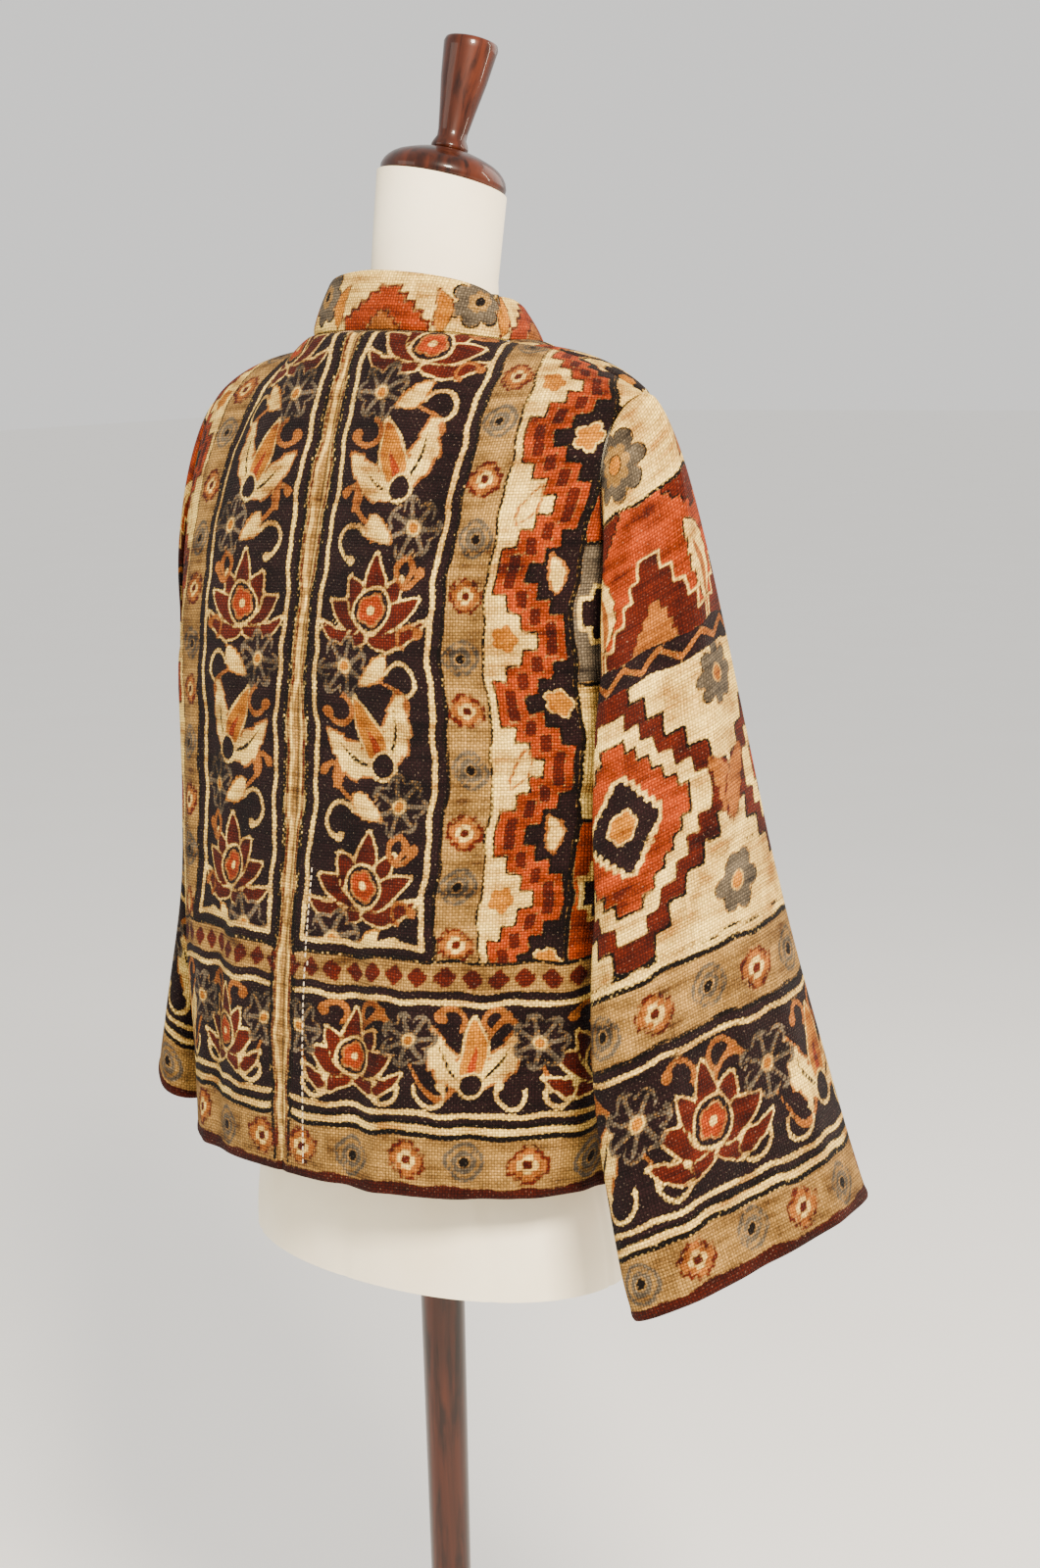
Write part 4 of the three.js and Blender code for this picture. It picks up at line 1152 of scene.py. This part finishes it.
def form_torso(material):
    """Limbless torso with a neck, covered in plain cotton."""
    n = FORM_MESH["quarter"]
    u_half = np.linspace(0, 1, n + 1)
    half_rows = np.linspace(0, 1, FORM_MESH["rows"])
    rows = np.concatenate([half_rows, 1 + half_rows[1:]])

    def ring(v):
        v = np.full(n + 1, v)
        back = form_half(u_half, v, True)
        front = form_half(u_half, v, False)
        mirror = np.array([-1.0, 1.0, 1.0])
        left_side = [back[:-1], front[:0:-1]]
        right_side = [(front * mirror)[:-1], (back * mirror)[:0:-1]]
        return np.concatenate(left_side + right_side)

    rings = [ring(v) for v in rows]
    top = rings[-1]
    neck_n = round(NECK_PART * n)
    pick = list(range(0, neck_n + 1))
    pick += list(range(2 * n - neck_n, 2 * n + neck_n + 1))
    pick += list(range(4 * n - neck_n, 4 * n))
    loop = top[pick]
    keep = np.linalg.norm(loop - np.roll(loop, 1, axis=0), axis=-1) > 0.5
    loop = loop[keep]
    middle = loop.mean(axis=0)
    angle = np.arctan2(loop[:, 1] - middle[1], loop[:, 0])

    def tube(y, z, lean):
        r = NECK_TUBE["radius"]
        rise = r * np.sin(angle + math.radians(NECK_TUBE["turn"])) * degrees_tan(lean)
        return np.stack([r * np.cos(angle), y + r * np.sin(angle), z + rise], axis=-1)

    first = tube(NECK_TUBE["y"], NECK_TUBE["z"], 0)
    neck = [loop]
    for s in np.linspace(0, 1, FORM_MESH["curve"])[1:]:
        curve = 1 - (1 - (s * s * 0.35 + s * 0.65)) ** 2.2
        rise = 1 - (1 - s) ** 1.2
        q = loop + (first - loop) * curve
        q[:, 2] = loop[:, 2] + (first[:, 2] - loop[:, 2]) * rise
        neck.append(q)
    for s in np.linspace(0, 1, FORM_MESH["tube"])[1:]:
        y = NECK_TUBE["y"] + (NECK_TUBE["top_y"] - NECK_TUBE["y"]) * s
        z = NECK_TUBE["z"] + (NECK_TUBE["top_z"] - NECK_TUBE["z"]) * s
        neck.append(tube(y, z, NECK_TUBE["lean"] * s))
    body_count, neck_count = len(rings[0]), len(loop)
    vertices = np.concatenate([np.concatenate(rings), np.concatenate(neck)])
    faces = ring_faces(len(rings), body_count, 0)
    start = len(rings) * body_count
    faces += ring_faces(len(neck), neck_count, start)
    middles = [[0, NECK_TUBE["top_y"], NECK_TUBE["top_z"]], [0, 4, FORM_BOTTOM_Z]]
    vertices = np.concatenate([vertices, middles])
    lid, under = len(vertices) - 2, len(vertices) - 1
    last = start + (len(neck) - 1) * neck_count
    faces += [(last + j, last + (j + 1) % neck_count, lid) for j in range(neck_count)]
    faces += [((j + 1) % body_count, j, under) for j in range(body_count)]
    mesh = bpy.data.meshes.new("form_cover")
    mesh.from_pydata((vertices / 1000).tolist(), [], faces)
    piece = bpy.data.objects.new("form_cover", mesh)
    bpy.context.scene.collection.objects.link(piece)
    bpy.ops.object.select_all(action="DESELECT")
    bpy.context.view_layer.objects.active = piece
    piece.select_set(True)
    bpy.ops.object.mode_set(mode="EDIT")
    bpy.ops.mesh.select_all(action="SELECT")
    bpy.ops.mesh.remove_doubles(threshold=0.0002)
    bpy.ops.mesh.delete_loose()
    bpy.ops.mesh.normals_make_consistent(inside=False)
    bpy.ops.object.mode_set(mode="OBJECT")
    bpy.ops.object.shade_smooth_by_angle(angle=math.radians(50))
    dress(piece, material, "form_cover", "form_torso")


def lathe(name, rings, sides):
    """Round piece: a disc whose rim is extruded and scaled from ring to ring."""
    bpy.ops.object.select_all(action="DESELECT")
    radius, height = rings[0]
    bpy.ops.mesh.primitive_circle_add(
        vertices=sides, radius=radius / 1000, fill_type="NGON", location=(0, 0, height / 1000)
    )
    piece = bpy.context.active_object
    piece.name = name
    bpy.ops.object.transform_apply(location=True, rotation=False, scale=False)
    bpy.ops.object.mode_set(mode="EDIT")
    bpy.ops.mesh.select_all(action="SELECT")
    for wide, high in rings[1:]:
        move = (0, 0, (high - height) / 1000)
        bpy.ops.mesh.extrude_region_move(TRANSFORM_OT_translate={"value": move})
        ratio = wide / radius
        bpy.ops.transform.resize(value=(ratio, ratio, 1))
        radius, height = wide, high
    bpy.ops.mesh.select_all(action="SELECT")
    bpy.ops.mesh.normals_make_consistent(inside=False)
    bpy.ops.object.mode_set(mode="OBJECT")
    return piece


def turned_piece(name, rings, material, slot, node, place=None):
    """Wooden piece turned on a lathe, its sharp rims broken."""
    piece = lathe(name, rings, TURNED_SIDES)
    bevel = piece.modifiers.new("edges", "BEVEL")
    bevel.width = BROKEN_RIM / 1000
    bevel.segments = 2
    bevel.limit_method = "ANGLE"
    bevel.angle_limit = math.radians(35)
    bpy.ops.object.modifier_apply(modifier="edges")
    if place:
        piece.matrix_world = place
        bpy.ops.object.transform_apply(location=True, rotation=True, scale=False)
    bpy.ops.object.shade_smooth_by_angle(angle=math.radians(48))
    dress(piece, material, slot, node)


def on_neck(lift):
    """Place on the slanted top of the neck, this far above it."""
    base = Vector((0, NECK_TUBE["top_y"] / 1000, NECK_TUBE["top_z"] / 1000))
    lean = Matrix.Rotation(math.radians(NECK_TUBE["lean"]), 4, "X")
    turn = Matrix.Rotation(-math.radians(NECK_TUBE["turn"]), 4, "Z")
    return Matrix.Translation(base) @ turn @ lean @ Matrix.Translation((0, 0, lift / 1000))


def linear(hex_colour):
    """sRGB hex colour as linear RGBA."""
    values = [int(hex_colour[i : i + 2], 16) / 255 for i in (0, 2, 4)]
    return [v / 12.92 if v <= 0.04045 else ((v + 0.055) / 1.055) ** 2.4 for v in values] + [1.0]


def node(tree, kind, settings=None, **links):
    """Adds a node, sets its properties and inputs, and joins what is given as a socket."""
    made = tree.nodes.new(kind)
    for key, value in (settings or {}).items():
        setattr(made, key, value)
    for key, value in links.items():
        if key[0] == "i" and key[1:].isdigit():
            socket = made.inputs[int(key[1:])]
        else:
            socket = made.inputs[key.replace("_", " ")]
        if isinstance(value, bpy.types.NodeSocket):
            tree.links.new(value, socket)
        else:
            socket.default_value = value
    return made


def new_material(name):
    """Material, its nodes and its shader."""
    material = bpy.data.materials.new(name)
    material.use_nodes = True
    return material, material.node_tree, material.node_tree.nodes["Principled BSDF"]


def own_place(tree):
    """Coordinates of the object itself."""
    return node(tree, "ShaderNodeTexCoord").outputs["Object"]


def set_looks(tree, shader, colour, bump=None, **looks):
    """Joins the colour and the bump, given as strength, distance and height, and sets the rest."""
    tree.links.new(colour, shader.inputs["Base Color"])
    if bump:
        strength, distance, height = bump
        made = node(tree, "ShaderNodeBump", Strength=strength, Distance=distance, Height=height)
        tree.links.new(made.outputs[0], shader.inputs["Normal"])
    for name, value in looks.items():
        shader.inputs[name.replace("_", " ")].default_value = value


def maths(tree, operation, a, b=0.0):
    return node(tree, "ShaderNodeMath", {"operation": operation}, i0=a, i1=b).outputs[0]


def vector_maths(tree, operation, a, **links):
    return node(tree, "ShaderNodeVectorMath", {"operation": operation}, i0=a, **links).outputs[0]


def noise(tree, place, scale, detail, **links):
    made = node(tree, "ShaderNodeTexNoise", Vector=place, Scale=scale, Detail=detail, **links)
    return made.outputs["Fac"]


def stretch(tree, place, scale):
    return node(tree, "ShaderNodeMapping", Vector=place, Scale=scale).outputs[0]


def remap(tree, value, low, high, to_low=0.0, to_high=1.0):
    return node(tree, "ShaderNodeMapRange", i0=value, i1=low, i2=high, i3=to_low, i4=to_high).outputs[0]


def blend(tree, share, a, b):
    made = node(tree, "ShaderNodeMix", {"data_type": "RGBA"}, i0=share, i6=a, i7=b)
    return made.outputs[2]


def attribute(tree, name):
    return node(tree, "ShaderNodeAttribute", {"attribute_name": name}).outputs["Fac"]


# Printed cotton: coarse plain weave with slubs, printed on one side, brushed soft by washing.
# It is matt, the print breaks up over the threads, and the reverse shows it faintly.
THREAD_PITCH = 0.0021  # metres, coarser than real threads so that they show


def printed_cotton():
    material, tree, shader = new_material("printed_plain_weave_cotton")
    cloth_map = node(tree, "ShaderNodeUVMap", {"uv_map": "cloth"}).outputs[0]
    # Threads that wander a little
    wander = node(tree, "ShaderNodeTexNoise", Vector=cloth_map, Scale=60.0, Detail=2.0).outputs["Color"]
    centred = vector_maths(tree, "SUBTRACT", wander, i1=(0.5, 0.5, 0.5))
    shift = vector_maths(tree, "SCALE", centred, Scale=0.0022)
    loose = vector_maths(tree, "ADD", cloth_map, i1=shift)
    split = node(tree, "ShaderNodeSeparateXYZ", i0=loose)
    waves = math.pi / THREAD_PITCH
    warp = maths(tree, "SINE", maths(tree, "MULTIPLY", split.outputs[0], waves))
    weft = maths(tree, "SINE", maths(tree, "MULTIPLY", split.outputs[1], waves))
    over = maths(tree, "MULTIPLY", warp, weft)
    bumps = maths(tree, "ABSOLUTE", over)
    # Slubs: long thick places in the threads, both ways
    slubs_across = noise(tree, stretch(tree, loose, (38.0, 620.0, 1.0)), 1.0, 2.0)
    slubs_up = noise(tree, stretch(tree, loose, (620.0, 38.0, 1.0)), 1.0, 2.0)
    slubs = maths(tree, "MAXIMUM", slubs_across, slubs_up)
    # Rough edges of the painted shapes
    rough_edge = maths(tree, "SUBTRACT", noise(tree, cloth_map, 210.0, 3.0), 0.5)
    rough_edge = maths(tree, "MULTIPLY", rough_edge, 2.6)
    rough_edge = maths(tree, "ADD", rough_edge, maths(tree, "MULTIPLY", over, 0.35))
    # Watery dye: thick and thin in clouds and in streaks along the weft
    cloudy = noise(tree, cloth_map, 30.0, 5.0, Roughness=0.62)
    brushed = noise(tree, stretch(tree, cloth_map, (16.0, 150.0, 1.0)), 1.0, 3.0)
    brushed = maths(tree, "MULTIPLY", brushed, 0.4)
    watery = maths(tree, "ADD", maths(tree, "MULTIPLY", cloudy, 0.6), brushed)
    watery = remap(tree, watery, 0.38, 0.58)
    colour = linear(GROUND_DYE)
    for dye, (thick, thin) in DYES.items():
        field = maths(tree, "ADD", attribute(tree, dye), rough_edge)
        smooth = {"interpolation_type": "SMOOTHSTEP"}
        share = node(tree, "ShaderNodeMapRange", smooth, i0=field, i1=-0.9, i2=0.5).outputs[0]
        painted = blend(tree, watery, linear(thick), linear(thin))
        colour = blend(tree, share, colour, painted)
    streak = remap(tree, slubs, 0.45, 0.75, 0.76, 1.34)
    thread = remap(tree, over, -1.0, 1.0, 0.72, 1.20)
    toned = vector_maths(tree, "SCALE", colour, Scale=maths(tree, "MULTIPLY", streak, thread))
    # Painted shade in the holes and gaps between the threads, where the colour is darkened, and undyed
    # fibre that shows on dark ground
    toned = vector_maths(tree, "SCALE", toned, Scale=remap(tree, bumps, 0.0, 0.34, 0.28, 1.10))
    fleck = noise(tree, loose, 640.0, 2.0)
    fleck = maths(tree, "MULTIPLY", fleck, maths(tree, "ADD", maths(tree, "MULTIPLY", over, 0.12), 0.95))
    toned = blend(tree, remap(tree, fleck, 0.62, 0.82, 0.0, 0.40), toned, linear("a8957c"))
    reverse = maths(tree, "MULTIPLY", attribute(tree, "reverse"), 0.68)
    colour = blend(tree, reverse, toned, linear(REVERSE_CLOTH))
    height = maths(tree, "ADD", bumps, maths(tree, "MULTIPLY", slubs, 0.9))
    looks = {"Roughness": 0.88, "Specular_IOR_Level": 0.08, "Sheen_Weight": 0.02, "Sheen_Roughness": 0.5}
    set_looks(tree, shader, colour, (0.7, 0.0011, height), **looks)
    return material


# Sewing cotton: mercerised thread with a slight gloss, twisted. Its colour is darker in the grooves of the
# twist: painted shade.
def sewing_thread():
    material, tree, shader = new_material("twisted_sewing_cotton")
    place = own_place(tree)
    diagonal = {"bands_direction": "DIAGONAL"}
    twist = node(tree, "ShaderNodeTexWave", diagonal, Vector=place, Scale=900.0).outputs["Fac"]
    # Pale thread, darkened in the grooves of the twist: painted shade
    colour = blend(tree, twist, linear("a08a68"), linear("efdfc0"))
    set_looks(tree, shader, colour, (0.3, 0.0002, twist), Roughness=0.6)
    return material


# Cotton calico stretched over the form: fine weave, matt, with faint clouds in its colour.
def calico():
    material, tree, shader = new_material("stretched_cotton_calico")
    place = own_place(tree)
    share = remap(tree, noise(tree, place, 9.0, 4.0), 0.3, 0.7)
    colour = blend(tree, share, linear("e9dcbc"), linear("f7eed6"))
    level = {"bands_direction": "Z"}
    threads = node(tree, "ShaderNodeTexWave", level, Vector=place, Scale=420.0, Distortion=1.5)
    threads = maths(tree, "MULTIPLY", threads.outputs["Fac"], 0.6)
    height = maths(tree, "ADD", noise(tree, place, 900.0, 2.0), threads)
    set_looks(tree, shader, colour, (0.25, 0.0004, height), Roughness=0.85, Sheen_Weight=0.1)
    return material


# Mahogany turned on a lathe, stained dark brown red and varnished to a gloss.
def varnished_mahogany(name, stands=None):
    material, tree, shader = new_material(name)
    place = own_place(tree)
    upright = stands.to_3x3().inverted().to_euler() if stands else (0, 0, 0)
    straight = node(tree, "ShaderNodeMapping", Vector=place, Rotation=upright).outputs[0]
    along_grain = stretch(tree, straight, (1.0, 1.0, 0.09))
    grain = noise(tree, along_grain, 150.0, 5.0, Roughness=0.6, Distortion=0.4)
    figure = noise(tree, along_grain, 28.0, 3.0, Distortion=1.2)
    colour = blend(tree, remap(tree, figure, 0.35, 0.68), linear("1c0903"), linear("4a1f0e"))
    colour = blend(tree, remap(tree, grain, 0.46, 0.66, 0.0, 0.85), colour, linear("0e0301"))
    looks = {"Roughness": 0.36, "Specular_IOR_Level": 0.12, "Coat_Weight": 0.4, "Coat_Roughness": 0.05}
    set_looks(tree, shader, colour, (0.12, 0.0003, grain), **looks)
    return material


# Studio floor: matt pale paper.
def pale_floor():
    material, tree, shader = new_material("pale_backdrop_paper")
    place = own_place(tree)
    colour = blend(tree, noise(tree, place, 3.0, 2.0), linear("f8f6f2"), linear("fbfaf7"))
    set_looks(tree, shader, colour, Roughness=0.95)
    return material


def floor(material):
    bpy.ops.object.select_all(action="DESELECT")
    bpy.ops.mesh.primitive_plane_add(size=FLOOR_SIZE, location=(0, 0, 0))
    ground = bpy.context.active_object
    ground.name = "floor"
    ground.data.materials.append(material)


def lamp(name, place, aim, size, power, colour):
    light = bpy.data.lights.new(name, "AREA")
    light.size = size
    light.energy = power
    light.color = colour
    lamp_object = bpy.data.objects.new(name, light)
    bpy.context.scene.collection.objects.link(lamp_object)
    lamp_object.location = place
    direction = Vector(aim) - Vector(place)
    lamp_object.rotation_euler = direction.to_track_quat("-Z", "Y").to_euler()
    return light


def studio():
    floor(pale_floor())
    for name, row in LAMPS.items():
        light = lamp(name, *row)
        if name == "strip":
            light.shape = "RECTANGLE"
            light.size_y = STRIP_TALL
    world = bpy.data.worlds.new("studio")
    bpy.context.scene.world = world
    world.use_nodes = True
    background = world.node_tree.nodes["Background"]
    background.inputs[0].default_value = SKY
    background.inputs[1].default_value = 1.0


def camera():
    turn, down, roll = (math.radians(a) for a in (CAMERA_TURN, CAMERA_DOWN, CAMERA_ROLL))
    right = Vector((-math.cos(turn), -math.sin(turn), 0))
    level = Vector((math.sin(turn), -math.cos(turn), 0))
    z = Vector((0, 0, 1))
    forward = level * math.cos(down) - z * math.sin(down)
    up = z * math.cos(down) + level * math.sin(down)
    rolled_right = right * math.cos(roll) + up * math.sin(roll)
    rolled_up = up * math.cos(roll) - right * math.sin(roll)
    data = bpy.data.cameras.new("camera")
    data.sensor_fit = "AUTO"
    data.sensor_width = SENSOR
    data.lens = FOCAL_PX / IMAGE_TALL * SENSOR
    data.shift_x = CENTRE_OFF_PX / IMAGE_TALL
    data.clip_start = 0.05
    view = bpy.data.objects.new("camera", data)
    bpy.context.scene.collection.objects.link(view)
    frame_axes = Matrix((rolled_right, rolled_up, -forward)).transposed().to_4x4()
    place = Vector((-math.sin(turn) * CAMERA_AWAY, math.cos(turn) * CAMERA_AWAY, CAMERA_Z)) / 1000
    view.matrix_world = Matrix.Translation(place) @ frame_axes
    bpy.context.scene.camera = view


camera()
studio()

cotton = printed_cotton()
for panel_name in ("back_left", "back_right", "front_left", "front_right"):
    panel(panel_name, cotton)
for sleeve_name in ("sleeve_left", "sleeve_right"):
    sleeve(sleeve_name, cotton)
collar(cotton)

form_torso(calico())
stand_wood = varnished_mahogany("varnished_mahogany")
slanted_wood = varnished_mahogany("varnished_mahogany_slanted", on_neck(0))
cap_place = on_neck(PIECE_GAP)
finial_place = on_neck(CAP_HEIGHT + 2 * PIECE_GAP)
turned_piece("turned_cap", CAP_RINGS, slanted_wood, "turned_hardwood", "neck_cap", cap_place)
turned_piece("turned_finial", FINIAL_RINGS, slanted_wood, "turned_hardwood", "finial", finial_place)
turned_piece("turned_post", POST_RINGS, stand_wood, "stand_wood", "post")
turned_piece("turned_base", BASE_RINGS, stand_wood, "stand_wood", "base")
